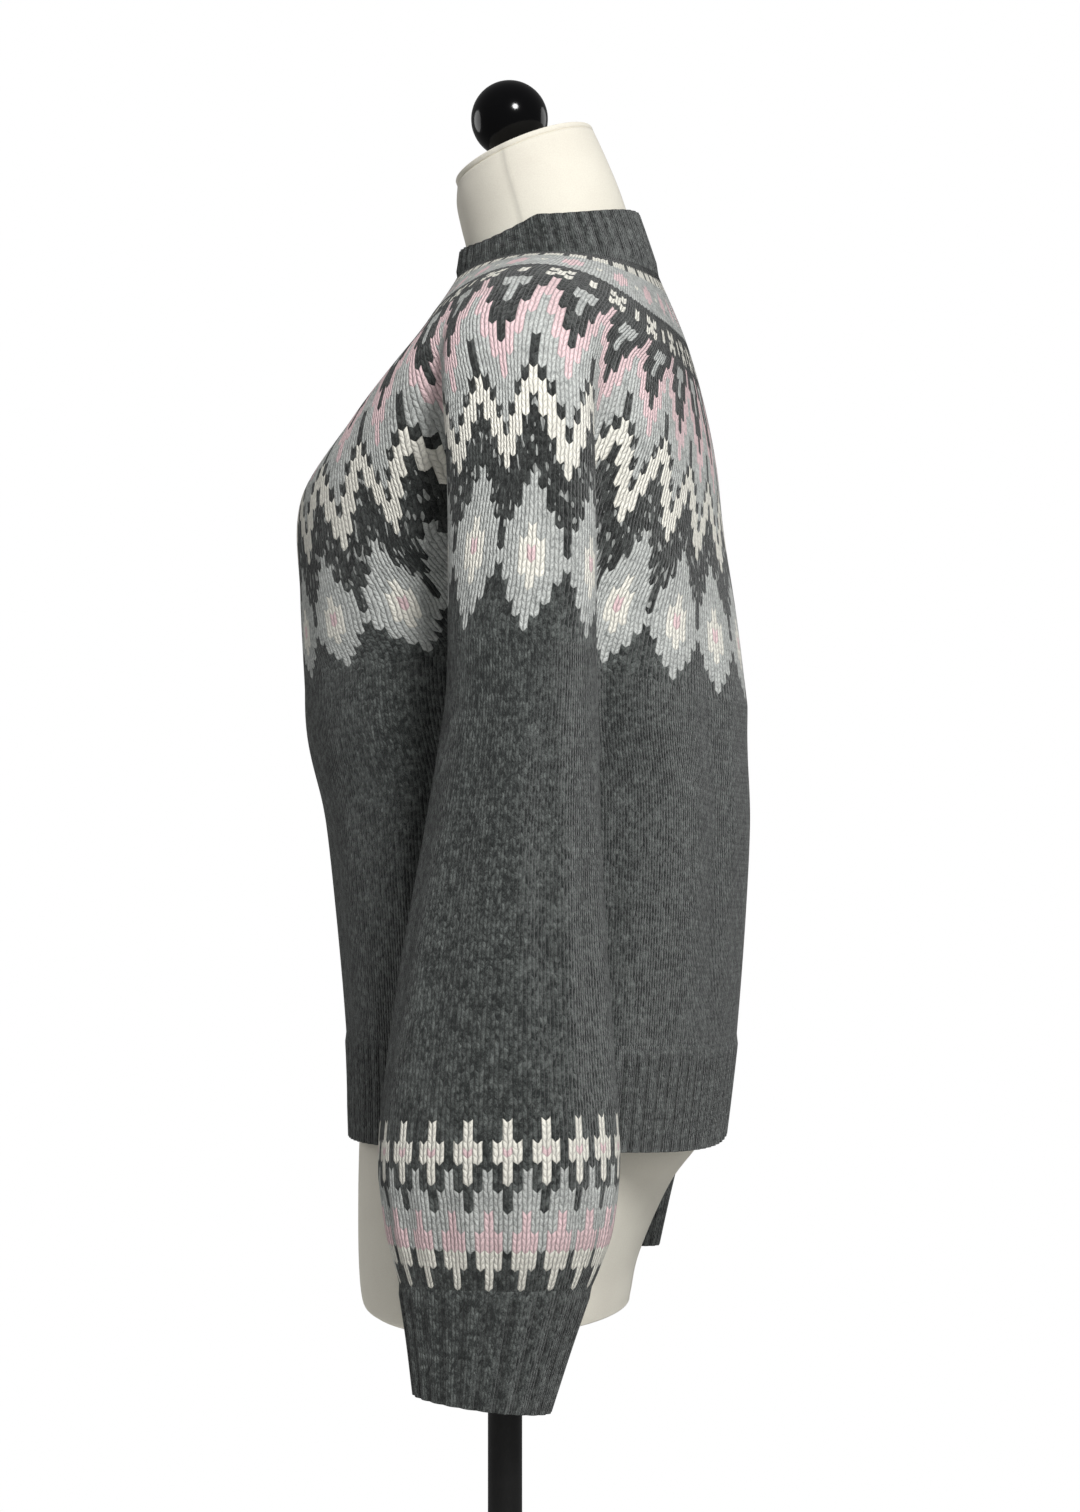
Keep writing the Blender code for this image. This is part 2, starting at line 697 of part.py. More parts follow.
def build_base(material):
    bevel = 0.2 * BASE_EDGE_HEIGHT
    shoulder = 0.5 * (BASE_EDGE_HEIGHT + HUB_TOP)
    profile = (
        (0.0, 0.0),
        (BASE_RADIUS - bevel, 0.0),
        (BASE_RADIUS, bevel),
        (BASE_RADIUS, BASE_EDGE_HEIGHT - bevel),
        (BASE_RADIUS - bevel, BASE_EDGE_HEIGHT),
        (1.6 * HUB_RADIUS, 1.5 * BASE_EDGE_HEIGHT),
        (HUB_RADIUS, shoulder),
        (HUB_RADIUS, HUB_TOP - bevel),
        (HUB_RADIUS - bevel, HUB_TOP),
        (0.0, HUB_TOP),
    )
    return new_object("stand_base", turned_solid(profile, BASE_AROUND, Matrix()), material)


def new_material(name, colour, roughness, metallic):
    material = bpy.data.materials.new(name)
    material.use_nodes = True
    shader = material.node_tree.nodes["Principled BSDF"]
    shader.inputs["Base Color"].default_value = (*colour, 1.0)
    shader.inputs["Roughness"].default_value = roughness
    shader.inputs["Metallic"].default_value = metallic
    material.diffuse_color = (*colour, 1.0)
    return material


def build_sweater(materials):
    front_width = 2.0 * SIDE_SEAM
    back_width = 2.0 * BODY_HALF - front_width
    build_yoke(materials["jacquard_knit"])
    build_body_panel("body_front", -SIDE_SEAM, front_width, materials["charcoal_knit"])
    build_body_panel("body_back", SIDE_SEAM, back_width, materials["charcoal_knit"])
    build_hem("hem_rib_front", -SIDE_SEAM, front_width, HEM_RIBS_FRONT, materials["charcoal_rib"])
    build_hem("hem_rib_back", SIDE_SEAM, back_width, HEM_RIBS_BACK, materials["charcoal_rib"])
    for word, side in (("left", 1.0), ("right", -1.0)):
        build_sleeve("sleeve_" + word, side, materials["charcoal_knit"])
        build_cuff("cuff_" + word, side, materials["charcoal_rib"])
    build_collar(materials["charcoal_rib"])


def build_stand(materials):
    build_form(materials["cream_canvas"])
    build_neck_cap(materials["cream_canvas"])
    build_finial(materials["black_gloss"])
    build_pole(materials["black_metal"])
    build_base(materials["black_metal"])


def main():
    for thing in list(bpy.data.objects):
        bpy.data.objects.remove(thing, do_unlink=True)
    materials = {}
    for name, (colour, roughness, metallic) in MATERIALS.items():
        materials[name] = new_material(name, colour, roughness, metallic)
    build_sweater(materials)
    build_stand(materials)


main()
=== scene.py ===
# Looks of the jacquard jumper on its dress form. Sizes are in metres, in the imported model's frame
import math

import bmesh
import bpy
import numpy as np
from mathutils import Matrix, Vector


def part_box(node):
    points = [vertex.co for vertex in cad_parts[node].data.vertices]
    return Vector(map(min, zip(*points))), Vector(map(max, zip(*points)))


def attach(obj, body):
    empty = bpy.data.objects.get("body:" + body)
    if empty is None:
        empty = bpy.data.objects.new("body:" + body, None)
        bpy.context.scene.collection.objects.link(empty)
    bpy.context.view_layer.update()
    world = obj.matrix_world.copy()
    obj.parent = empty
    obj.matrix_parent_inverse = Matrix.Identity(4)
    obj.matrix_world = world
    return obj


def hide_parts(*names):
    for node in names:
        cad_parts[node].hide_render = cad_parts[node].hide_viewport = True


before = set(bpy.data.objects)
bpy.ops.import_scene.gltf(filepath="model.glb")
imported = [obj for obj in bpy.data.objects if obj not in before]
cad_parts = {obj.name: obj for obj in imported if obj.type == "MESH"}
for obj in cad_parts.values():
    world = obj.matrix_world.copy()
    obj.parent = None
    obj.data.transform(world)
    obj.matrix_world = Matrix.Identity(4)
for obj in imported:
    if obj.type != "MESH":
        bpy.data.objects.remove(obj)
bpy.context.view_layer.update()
print("frame loaded:", len(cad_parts), "nodes")


# Tools for smooth tables and curves


def mix(first, second, share):
    return first * (1 - share) + second * share


def ease(share):
    share = np.clip(share, 0, 1)
    return share * share * (3 - 2 * share)


def power(value, exponent):
    return np.sign(value) * np.abs(value) ** exponent


def wrap(value, around):
    # the same place on a ring, counted from -around / 2 to around / 2
    return (value + around / 2) % around - around / 2


def unit(vector):
    return vector / np.maximum(np.linalg.norm(vector, axis=-1, keepdims=True), 1e-12)


def readTable(columns, rows, at):
    # reads a table smoothly between its rows, for many places at once
    rows = np.array(rows, float)
    at = np.asarray(at, float)
    last = len(rows) - 1
    low = np.searchsorted(rows[1:last, 0], at, side="right")
    before, here = rows[np.maximum(low - 1, 0)], rows[low]
    there, after = rows[low + 1], rows[np.minimum(low + 2, last)]
    span = there[..., 0] - here[..., 0]
    share = (at - here[..., 0]) / span
    square, cube = share**2, share**3
    values = {}
    for index, column in enumerate(columns):
        slopeHere = span * (there[..., index] - before[..., index]) / (there[..., 0] - before[..., 0])
        slopeThere = span * (after[..., index] - here[..., index]) / (after[..., 0] - here[..., 0])
        values[column] = (
            (2 * cube - 3 * square + 1) * here[..., index]
            + (cube - 2 * square + share) * slopeHere
            + (3 * square - 2 * cube) * there[..., index]
            + (cube - square) * slopeThere
        )
    return values


def heightAround(section, turn):
    endHeight = np.where(np.cos(turn) > 0, section["frontZ"], section["backZ"])
    return mix(section["sideZ"], endHeight, np.cos(turn) ** 2)


def depthOf(section):
    # where its middle lies from front to back, and half its depth
    front, back = section["frontY"], section["backY"]
    return 0.5 * (front + back), 0.5 * (back - front)


def oval(section, turn, squareness=1.0):
    middleY, halfY = depthOf(section)
    x = section["halfX"] * power(np.sin(turn), squareness)
    return x, middleY - halfY * power(np.cos(turn), squareness)


def points(x, y, z):
    return np.stack(np.broadcast_arrays(x, y, z), axis=-1)


def outward(surface, across, up, stepAcross, stepUp):
    # the unit normal of a surface whose places run anticlockwise seen from above and whose rows run up
    first = surface(across + stepAcross, up) - surface(across - stepAcross, up)
    second = surface(across, up + stepUp) - surface(across, up - stepUp)
    return unit(np.cross(first, second))


def creases(rows, place, height, around=None):
    # soft troughs and ridges, each given in a list: the depth at each point, positive inwards
    depth = np.zeros(np.broadcast(place, height).shape)
    for at, topZ, lowZ, lean, deep, width in rows:
        along = np.clip((height - lowZ) / (topZ - lowZ), 0, 1)
        off = place - at - lean * (along - 0.5)
        if around:
            off = wrap(off, around)
        depth = depth + deep * np.exp(-((off / width) ** 2)) * np.sin(math.pi * along) ** 0.8
    return depth


# The jumper's shape, as the solids have it

clothThickness = 0.0019

# the pattern's repeats, counted from the front middle: over the front, over a sleeve, to the back middle
frontRepeats, sleeveRepeats, halfRepeats = 5.0, 5.0, 14.0
backFrom = frontRepeats + sleeveRepeats
yokeColumns = ("down", "frontZ", "sideZ", "backZ", "frontY", "backY", "halfX", "lobe")
yokeSections = (
    (0.00, 1.3700, 1.3770, 1.3715, -0.0300, 0.0985, 0.0700, 0.00),
    (0.15, 1.3340, 1.3629, 1.3323, -0.0485, 0.1150, 0.1150, 0.02),
    (0.30, 1.2978, 1.3448, 1.2922, -0.0665, 0.1265, 0.1590, 0.12),
    (0.45, 1.2627, 1.3112, 1.2511, -0.0980, 0.1345, 0.1940, 0.44),
    (0.60, 1.2244, 1.2648, 1.2093, -0.1275, 0.1390, 0.2140, 0.80),
    (0.80, 1.1658, 1.1996, 1.1541, -0.1280, 0.1475, 0.2280, 0.96),
    (1.00, 1.1070, 1.1330, 1.0980, -0.1250, 0.1545, 0.2350, 1.00),
)
# the deep fold where a sleeve meets the body, and how far the sleeve bulges over it
crease = {"x": 0.151, "frontY": 0.012, "backY": 0.066, "bulge": 0.046, "softness": 0.30}
bodySquareness = 0.86


def lobedOutline(section, repeat):
    frontTurn = 0.5 * math.pi * np.clip(repeat / frontRepeats, 0, 1)
    backTurn = 0.5 * math.pi * np.clip((halfRepeats - repeat) / (halfRepeats - backFrom), 0, 1)
    armTurn = math.pi * np.clip((repeat - frontRepeats) / sleeveRepeats, 0, 1)
    middleY, halfY = depthOf(crease)
    front = (
        crease["x"] * power(np.sin(frontTurn), bodySquareness),
        crease["frontY"] + (section["frontY"] - crease["frontY"]) * power(np.cos(frontTurn), bodySquareness),
    )
    rear = (
        crease["x"] * power(np.sin(backTurn), bodySquareness),
        crease["backY"] + (section["backY"] - crease["backY"]) * power(np.cos(backTurn), bodySquareness),
    )
    arm = (
        crease["x"] + (section["halfX"] - crease["x"]) * np.abs(np.sin(armTurn)) ** 0.8,
        middleY - (halfY + crease["bulge"] * np.sin(armTurn)) * np.cos(armTurn),
    )
    isFront, isBack = repeat <= frontRepeats, repeat >= backFrom
    return tuple(np.where(isFront, f, np.where(isBack, b, a)) for f, b, a in zip(front, rear, arm))


def yokeCorner(section, repeat):
    repeat = wrap(repeat, 2 * halfRepeats)
    side = np.where(repeat >= 0, 1.0, -1.0)
    turn = math.pi * np.abs(repeat) / halfRepeats
    ovalX, ovalY = oval(section, turn)
    lobedX, lobedY = lobedOutline(section, np.abs(repeat))
    x = side * mix(ovalX, lobedX, section["lobe"])
    return points(x, mix(ovalY, lobedY, section["lobe"]), heightAround(section, turn))


def yokePoint(repeat, down):
    section = readTable(yokeColumns, yokeSections, down)
    before = yokeCorner(section, repeat - crease["softness"])
    after = yokeCorner(section, repeat + crease["softness"])
    return 0.5 * yokeCorner(section, repeat) + 0.25 * (before + after)


# places round the body, from the front middle to the back middle, with one place under each arm
bodyHalf = 10.0
underarmPlaces = 1.0
sideSeam = frontRepeats + underarmPlaces / 2
bodyMiddleY = 0.015
hemStarts = 0.77
bodyBlend = 0.30
bodyColumns = ("down", "frontZ", "sideZ", "backZ", "frontY", "backY", "halfX")
bodySections = (
    (0.00, 1.1070, 1.1280, 1.0980, -0.1250, 0.1545, 0.1510),
    (0.25, 1.0390, 1.0560, 1.0320, -0.1135, 0.1565, 0.1490),
    (0.50, 0.9700, 0.9830, 0.9640, -0.1060, 0.1535, 0.1480),
    (0.77, 0.8920, 0.8960, 0.8880, -0.0985, 0.1475, 0.1530),
    (0.90, 0.8560, 0.8600, 0.8520, -0.0960, 0.1435, 0.1545),
    (1.00, 0.8280, 0.8330, 0.8240, -0.0950, 0.1400, 0.1535),
)
# at (place), top z, low z, lean, depth, width: the solids' own folds, and then finer creases
bodyFolds = (
    (8.55, 1.210, 0.880, 0.0, 0.0060, 0.42),
    (-8.55, 1.210, 0.880, 0.0, 0.0060, 0.42),
    (1.30, 1.030, 0.850, 0.0, 0.0040, 0.50),
    (-1.70, 1.010, 0.850, 0.0, 0.0040, 0.50),
    (4.10, 1.140, 0.950, 0.0, 0.0050, 0.45),
    (-4.10, 1.140, 0.950, 0.0, 0.0050, 0.45),
)
bodyCreases = (
    (7.55, 1.120, 0.870, -0.5, -0.0022, 0.45),
    (-7.45, 1.100, 0.880, 0.4, -0.0020, 0.45),
    (9.45, 1.080, 0.900, 0.3, 0.0020, 0.30),
    (-9.30, 1.090, 0.890, -0.2, 0.0020, 0.30),
    (2.20, 1.090, 0.900, 0.4, -0.0018, 0.40),
    (-2.60, 1.080, 0.880, -0.3, -0.0018, 0.40),
    (3.10, 0.990, 0.850, 0.3, 0.0020, 0.30),
    (-3.30, 1.000, 0.850, -0.4, 0.0020, 0.32),
    (6.30, 1.060, 0.860, 0.2, 0.0026, 0.35),
    (-6.10, 1.040, 0.870, 0.2, 0.0026, 0.35),
)


def underarmRing(place):
    side, place = np.where(place >= 0, 1.0, -1.0), np.abs(place)
    one = np.ones_like(place)
    pastFront = place - frontRepeats
    onYoke = yokePoint(side * np.where(pastFront <= 0, place, place + sleeveRepeats - underarmPlaces), one)
    front, rear = yokePoint(side * frontRepeats, one), yokePoint(side * backFrom, one)
    bridge = mix(front, rear, np.clip(pastFront / underarmPlaces, 0, 1)[..., None])
    return np.where(((pastFront > 0) & (pastFront < underarmPlaces))[..., None], bridge, onYoke)


def pushedIn(point, depth):
    # moves points level towards the middle of the body
    toMiddle = points(0, bodyMiddleY, point[..., 2]) - point
    return point + unit(toMiddle) * depth[..., None]


def bodyPoint(place, down):
    place = wrap(place, 2 * bodyHalf)
    side = np.where(place >= 0, 1.0, -1.0)
    section = readTable(bodyColumns, bodySections, down)
    turn = math.pi * np.abs(place) / bodyHalf
    x, y = oval(section, turn, bodySquareness)
    z = heightAround(section, turn)
    point = points(side * x, y, z)
    top = underarmRing(place)
    topRow = readTable(bodyColumns, bodySections, np.zeros_like(down))
    falling = top + points(0, 0, z - heightAround(topRow, turn))
    point = mix(falling, point, ease(down / bodyBlend)[..., None])
    depth = creases(bodyFolds, place, point[..., 2])
    depth = depth + creases(bodyCreases, place, point[..., 2], 2 * bodyHalf)
    return pushedIn(point, depth)


# places round a sleeve: the yoke's repeats, and a third as many under the arm
sleeveRound = sleeveRepeats + sleeveRepeats / 3
sleeveBlend = 0.14
sleeveTurns = {"front": -50.0, "back": 230.0}
sleeveHang = {1: {"length": 1.00, "back": 0.000}, -1: {"length": 0.92, "back": 0.016}}
sleeveColumns = ("down", "z", "frontY", "backY", "centreX", "halfX")
sleeveSections = (
    (0.00, 1.1250, -0.0060, 0.0820, 0.1945, 0.0405),
    (0.10, 1.0880, -0.0080, 0.0828, 0.1975, 0.0400),
    (0.25, 1.0300, -0.0170, 0.0838, 0.2000, 0.0415),
    (0.45, 0.9580, -0.0300, 0.0878, 0.2030, 0.0425),
    (0.65, 0.8850, -0.0410, 0.0930, 0.2040, 0.0430),
    (0.79, 0.8350, -0.0450, 0.0956, 0.2040, 0.0425),
    (0.90, 0.7950, -0.0415, 0.0915, 0.2030, 0.0370),
    (0.96, 0.7740, -0.0365, 0.0845, 0.2015, 0.0300),
    (1.00, 0.7620, -0.0330, 0.0790, 0.2005, 0.0250),
)
sleeveTop, sleeveEnd = sleeveSections[0][1], sleeveSections[-1][1]
# at (turn in degrees from the front), top z, low z, lean, depth, width in degrees
sleeveCreases = (
    (62, 1.14, 0.84, 20, 0.0030, 13),
    (118, 1.12, 0.86, -16, 0.0026, 12),
    (20, 1.06, 0.82, 14, 0.0030, 13),
    (152, 1.08, 0.80, 10, 0.0030, 12),
    (250, 1.10, 0.80, 0, 0.0030, 16),
    (300, 1.08, 0.82, 8, 0.0026, 14),
)
cuffGathers = {"count": 17, "depth": 0.0020, "topZ": 0.822, "spread": 0.7, "uneven": 1.7}


def hung(x, y, z, side):
    # the two sleeves hang a little differently
    hang = sleeveHang[side]
    drop = sleeveTop - z
    share = np.minimum(drop / (sleeveTop - sleeveEnd), 1)
    return points(x, y + hang["back"] * share, sleeveTop - drop * hang["length"])


def sleevePoint(place, down, side):
    place = place % sleeveRound
    underarm = np.clip((place - sleeveRepeats) / (sleeveRound - sleeveRepeats), 0, 1)
    section = readTable(sleeveColumns, sleeveSections, down)
    outerDegrees = mix(sleeveTurns["front"], sleeveTurns["back"], place / sleeveRepeats)
    innerDegrees = mix(sleeveTurns["back"], sleeveTurns["front"] + 360, underarm)
    degrees = np.where(place <= sleeveRepeats, outerDegrees, innerDegrees)
    turn = np.radians(degrees)
    x, y = oval(section, turn)
    z = section["z"] * np.ones_like(turn)
    near = np.clip((cuffGathers["topZ"] - z) / (cuffGathers["topZ"] - sleeveEnd), 0, 1)
    wave = np.cos(cuffGathers["count"] * turn + cuffGathers["uneven"] * np.sin(2 * turn) + side)
    gathered = cuffGathers["depth"] * np.sin(math.pi * near ** cuffGathers["spread"]) * (1 - wave) * 0.5
    depth = creases(sleeveCreases, degrees, z, 360) + gathered
    middleY, _ = depthOf(section)
    kept = 1 - depth / np.hypot(x, y - middleY)
    x, y = x * kept, middleY + (y - middleY) * kept
    point = hung(side * (section["centreX"] + x), y, z, side)
    one = np.ones_like(place)
    onYoke = yokePoint(side * (frontRepeats + np.minimum(place, sleeveRepeats)), one)
    front, rear = yokePoint(side * frontRepeats * one, one), yokePoint(side * backFrom * one, one)
    top = np.where((place <= sleeveRepeats)[..., None], onYoke, mix(rear, front, underarm[..., None]))
    falling = top + points(0, 0, point[..., 2] - sleeveTop)
    return mix(falling, point, ease(down / sleeveBlend)[..., None])


cuffColumns = ("down", "frontZ", "backZ", "frontY", "backY", "centreX", "halfX")
cuffSections = (
    (0.0, 0.7620, 0.7620, -0.0330, 0.0790, 0.2005, 0.0250),
    (0.5, 0.7300, 0.7260, -0.0280, 0.0665, 0.2005, 0.0225),
    (1.0, 0.6980, 0.6890, -0.0240, 0.0545, 0.2005, 0.0215),
)
collarColumns = ("up", "frontZ", "sideZ", "backZ", "frontY", "backY", "halfX")
collarSections = (
    (0.0, 1.3700, 1.3770, 1.3715, -0.0300, 0.0985, 0.0700),
    (0.5, 1.3785, 1.3895, 1.3920, -0.0287, 0.0918, 0.0660),
    (1.0, 1.3870, 1.4015, 1.4110, -0.0275, 0.0852, 0.0628),
)
formColumns = ("z", "frontY", "backY", "halfX", "tilt")
formSections = (
    (0.7180, -0.0840, 0.0790, 0.1300, 0.0),
    (0.7240, -0.0890, 0.0800, 0.1350, 0.0),
    (0.7500, -0.0912, 0.0860, 0.1410, 0.0),
    (0.7950, -0.0915, 0.1060, 0.1470, 0.0),
    (0.8300, -0.0910, 0.1300, 0.1475, 0.0),
    (0.8700, -0.0895, 0.1330, 0.1450, 0.0),
    (0.9300, -0.0850, 0.1250, 0.1350, 0.0),
    (1.0000, -0.0760, 0.1100, 0.1200, 0.0),
    (1.0700, -0.0880, 0.1130, 0.1260, 0.0),
    (1.1500, -0.1150, 0.1250, 0.1380, 0.0),
    (1.2200, -0.1080, 0.1280, 0.1420, 0.0),
    (1.2700, -0.0780, 0.1190, 0.1420, 0.0),
    (1.3100, -0.0500, 0.1090, 0.1450, 0.0),
    (1.3370, -0.0370, 0.1010, 0.1400, 0.0),
    (1.3530, -0.0280, 0.0940, 0.1225, 0.0),
    (1.3640, -0.0240, 0.0900, 0.0980, 0.0),
    (1.3730, -0.0235, 0.0870, 0.0700, 0.0),
    (1.3820, -0.0230, 0.0845, 0.0600, 0.04),
    (1.3960, -0.0245, 0.0815, 0.0565, 0.10),
    (1.4150, -0.0280, 0.0740, 0.0545, 0.20),
    (1.4330, -0.0305, 0.0645, 0.0535, 0.32),
    (1.4470, -0.0300, 0.0570, 0.0525, 0.40),
)


# Finishes


class Reading:
    # one socket of a material, which can be used in sums
    def __init__(self, finish, socket):
        self.finish = finish
        self.socket = socket

    def maths(self, operation, *values):
        return self.finish.node("ShaderNodeMath", {"operation": operation}, dict(enumerate(values)))

    def __add__(self, other):
        return self.maths("ADD", self, other)

    __radd__ = __add__

    def __mul__(self, other):
        return self.maths("MULTIPLY", self, other)

    __rmul__ = __mul__

    def __sub__(self, other):
        return self.maths("SUBTRACT", self, other)

    def __rsub__(self, other):
        return self.maths("SUBTRACT", other, self)

    def __pow__(self, other):
        return self.maths("POWER", self, other)

    def __abs__(self):
        return self.maths("ABSOLUTE", self)

    def __gt__(self, other):
        return self.maths("GREATER_THAN", self, other)

    def floor(self):
        return self.maths("FLOOR", self)

    def fract(self):
        return self.maths("FRACT", self)

    def clamped(self, low=0.0, high=1.0):
        return self.finish.node("ShaderNodeClamp", {}, {"Value": self, "Min": low, "Max": high})


class Finish:
    # a node material that is built up by name
    def __init__(self, name):
        self.material = bpy.data.materials.new(name)
        self.material.use_nodes = True
        self.tree = self.material.node_tree
        self.tree.nodes.clear()

    def node(self, kind, settings, inputs, give=0):
        made = self.tree.nodes.new(kind)
        for name, value in settings.items():
            setattr(made, name, value)
        for name, value in inputs.items():
            if isinstance(value, Reading):
                self.tree.links.new(value.socket, made.inputs[name])
            else:
                made.inputs[name].default_value = value
        if isinstance(give, tuple):
            return [Reading(self, made.outputs[name]) for name in give]
        return Reading(self, made.outputs[give])

    def attribute(self, name):
        return self.node("ShaderNodeAttribute", {"attribute_name": name}, {}, "Fac")

    def place(self):
        return self.node("ShaderNodeTexCoord", {}, {}, "Object")

    def noise(self, where, scale, detail=2.0, roughness=0.6):
        inputs = {"Vector": where, "Scale": scale, "Detail": detail, "Roughness": roughness}
        return self.node("ShaderNodeTexNoise", {}, inputs)

    def blend(self, share, first, second):
        return self.node("ShaderNodeMix", {"data_type": "RGBA"}, {0: share, 6: first, 7: second}, 2)

    def scaled(self, colour, factor):
        return self.node("ShaderNodeVectorMath", {"operation": "SCALE"}, {0: colour, "Scale": factor})

    def bump(self, height, distance, strength=1.0):
        return self.node("ShaderNodeBump", {}, {"Height": height, "Distance": distance, "Strength": strength})

    def shader(self, inputs):
        surface = self.node("ShaderNodeBsdfPrincipled", {}, inputs)
        output = self.tree.nodes.new("ShaderNodeOutputMaterial")
        self.tree.links.new(surface.socket, output.inputs["Surface"])
        return self.material


def fromScreen(red, green, blue):
    # a colour read off a screen, 0 to 255, as the linear value that a shader takes
    linear = [((c / 255 + 0.055) / 1.055) ** 2.4 if c > 10 else c / 3294.6 for c in (red, green, blue)]
    return (*linear, 1.0)


yarnColours = {
    "charcoal": fromScreen(40, 44, 43),
    "charcoalFibre": fromScreen(122, 127, 124),
    "grey": fromScreen(216, 219, 215),
    "greyFibre": fromScreen(112, 116, 115),
    "cream": fromScreen(255, 252, 240),
    "pink": fromScreen(252, 220, 222),
}
knitLook = {
    "vDepth": 0.62,  # how far a stitch's sides stand above its point, in rows
    "groove": 0.64,  # shade at the bottom of the groove between two legs
    # the same painted groove shade on plain knit
    "plainGroove": 0.66,
    "relief": 0.0012,
    "fuzz": 0.45,
    "wander": (0.30, 0.55),  # how far stitches stray, in stitches and rows
    "roughness": 0.95,
    "specular": 0.25,
    "sheen": 0.22,
    "sheenRoughness": 0.5,
    "ragged": 0.5,  # how uneven the edge between two yarns is, in rows
    # painted rib shade: darker in the valleys between ribs, lighter on their crests
    "valleyShade": 0.58,  # shade between two ribs
    "crestShade": 1.20,
    "unevenShade": (0.5, 0.2, 0.35),  # by fibre, by stitch and by cloud
}
# the mottling's parts, and where fibre shows pale in the charcoal and worn in the pattern yarns
mottling = {"fibre": 0.40, "tuft": 0.35, "heather": 0.25}
paler = {"from": 0.44, "contrast": 4.2, "uneven": 0.35}
wornOff = {"from": 0.56, "contrast": 5.0, "uneven": 0.5}
# how much of the grey fibre shows in each pattern yarn, in the order of the chart's numbers
yarnWear = {"grey": 0.75, "cream": 0.14, "pink": 0.22}
# plain rows between the yoke's motifs: how dark they are, and the short grey strokes on them
plainRows = {"from": 3, "over": 10, "darker": 0.42}
flecks = {"fromRow": 13.0, "toRow": 36.0, "threshold": 0.66, "strength": 0.55, "scale": 1.1}
fleckStroke = {"Scale": (1.9, 0.5, 1.0), "Rotation": (0, 0, 0.22)}
# scale, detail and roughness of each noise
knitNoise = {
    "sideways": (210.0, 1.0),
    "lengthways": (170.0, 1.0),
    "fibre": (1500.0, 3.0, 0.7),
    "tuft": (330.0, 2.0),
    "heather": (95.0, 3.0, 0.7),
    "cloud": (24.0, 2.0),
    "stray": (380.0, 2.0, 0.7),
}


def knitFinish(name, patterned=False, ribbed=False, flecked=False):
    finish = Finish(name)
    stitches = finish.node("ShaderNodeUVMap", {"uv_map": "stitches"}, {})
    where = finish.place()
    across, up = finish.node("ShaderNodeSeparateXYZ", {}, {0: stitches}, ("X", "Y"))
    sideways, lengthways = knitLook["wander"]
    across = across + (finish.noise(where, *knitNoise["sideways"]) - 0.5) * sideways
    if not patterned:
        up = up + (finish.noise(where, *knitNoise["lengthways"]) - 0.5) * lengthways
    fromMiddle = abs(across.fract() * 2 - 1)
    sidesUp = up - fromMiddle * knitLook["vDepth"]
    inRow = sidesUp.fract()
    # each leg is round across and along
    leg = fromMiddle * (1 - fromMiddle) * 4
    length = inRow * (1 - inRow) * 4
    height = leg ** 0.6 * (length ** 0.5 * 0.5 + 0.5)

    fibre, tuft, heather, cloud = (
        finish.noise(where, *knitNoise[part]) for part in ("fibre", "tuft", "heather", "cloud")
    )
    whichStitch = finish.node("ShaderNodeCombineXYZ", {}, {0: (across * 2).floor(), 1: sidesUp.floor()})
    flat = {"noise_dimensions": "2D"}
    eachStitch = finish.node("ShaderNodeTexWhiteNoise", flat, {"Vector": whichStitch}, "Value")

    mottle = fibre * mottling["fibre"] + tuft * mottling["tuft"] + heather * mottling["heather"]
    melange = (mottle - paler["from"]) * paler["contrast"] + (eachStitch - 0.5) * paler["uneven"]
    colour = finish.blend(melange.clamped(), yarnColours["charcoal"], yarnColours["charcoalFibre"])
    if patterned:
        stray = (finish.noise(where, *knitNoise["stray"]) - 0.5) * knitLook["ragged"]
        own = up.fract() + stray > fromMiddle * knitLook["vDepth"]
        here, below = finish.attribute("yarn"), finish.attribute("yarnBelow")
        yarn = below + (here - below) * own
        if flecked:
            plain = ((up - plainRows["from"]) * (1 / plainRows["over"])).clamped()
            colour = finish.scaled(colour, plain * -plainRows["darker"] + 1)
            strokes = finish.node("ShaderNodeMapping", {}, {"Vector": stitches, **fleckStroke})
            inRows = (up > flecks["fromRow"]) * (1 - (up > flecks["toRow"]))
            fleck = (finish.noise(strokes, flecks["scale"], 0.0) > flecks["threshold"]) * inRows
            colour = finish.blend(fleck * flecks["strength"], colour, yarnColours["grey"])
        worn = (wornOff["from"] - mottle) * wornOff["contrast"] + (eachStitch - 0.5) * wornOff["uneven"]
        worn = worn.clamped()
        for step, (yarnName, wear) in enumerate(yarnWear.items()):
            spun = finish.blend(worn * wear, yarnColours[yarnName], yarnColours["greyFibre"])
            colour = finish.blend(yarn > step + 0.5, colour, spun)
    # painted shade: darker in the grooves between legs, full colour on their crowns
    groove = knitLook["groove"] if patterned else knitLook["plainGroove"]
    shade = height * (1 - groove) + groove
    for part, uneven in zip((fibre, eachStitch, cloud), knitLook["unevenShade"]):
        shade = shade * ((part - 0.5) * uneven + 1)
    # painted shade in the valleys between ribs and painted light on their crests
    if ribbed:
        rise = knitLook["crestShade"] - knitLook["valleyShade"]
        shade = shade * (finish.attribute("crest") * rise + knitLook["valleyShade"])
    colour = finish.scaled(colour, shade)
    relief = height + (fibre - 0.5) * knitLook["fuzz"]
    return finish.shader({
        "Base Color": colour,
        "Roughness": knitLook["roughness"],
        "Specular IOR Level": knitLook["specular"],
        "Sheen Weight": knitLook["sheen"],
        "Sheen Roughness": knitLook["sheenRoughness"],
        "Normal": finish.bump(relief, knitLook["relief"]),
    })


coverLook = {
    "cloth": fromScreen(245, 241, 226),
    "darkerCloth": fromScreen(228, 221, 207),
    "threads": 1700.0,  # in each metre
    "grain": (1300.0, 3.0, 0.7),
    "cloud": (14.0, 3.0),
    "roughness": 0.82,
    "sheen": 0.12,
    "relief": 0.00025,
    "seamShade": 0.22,
}


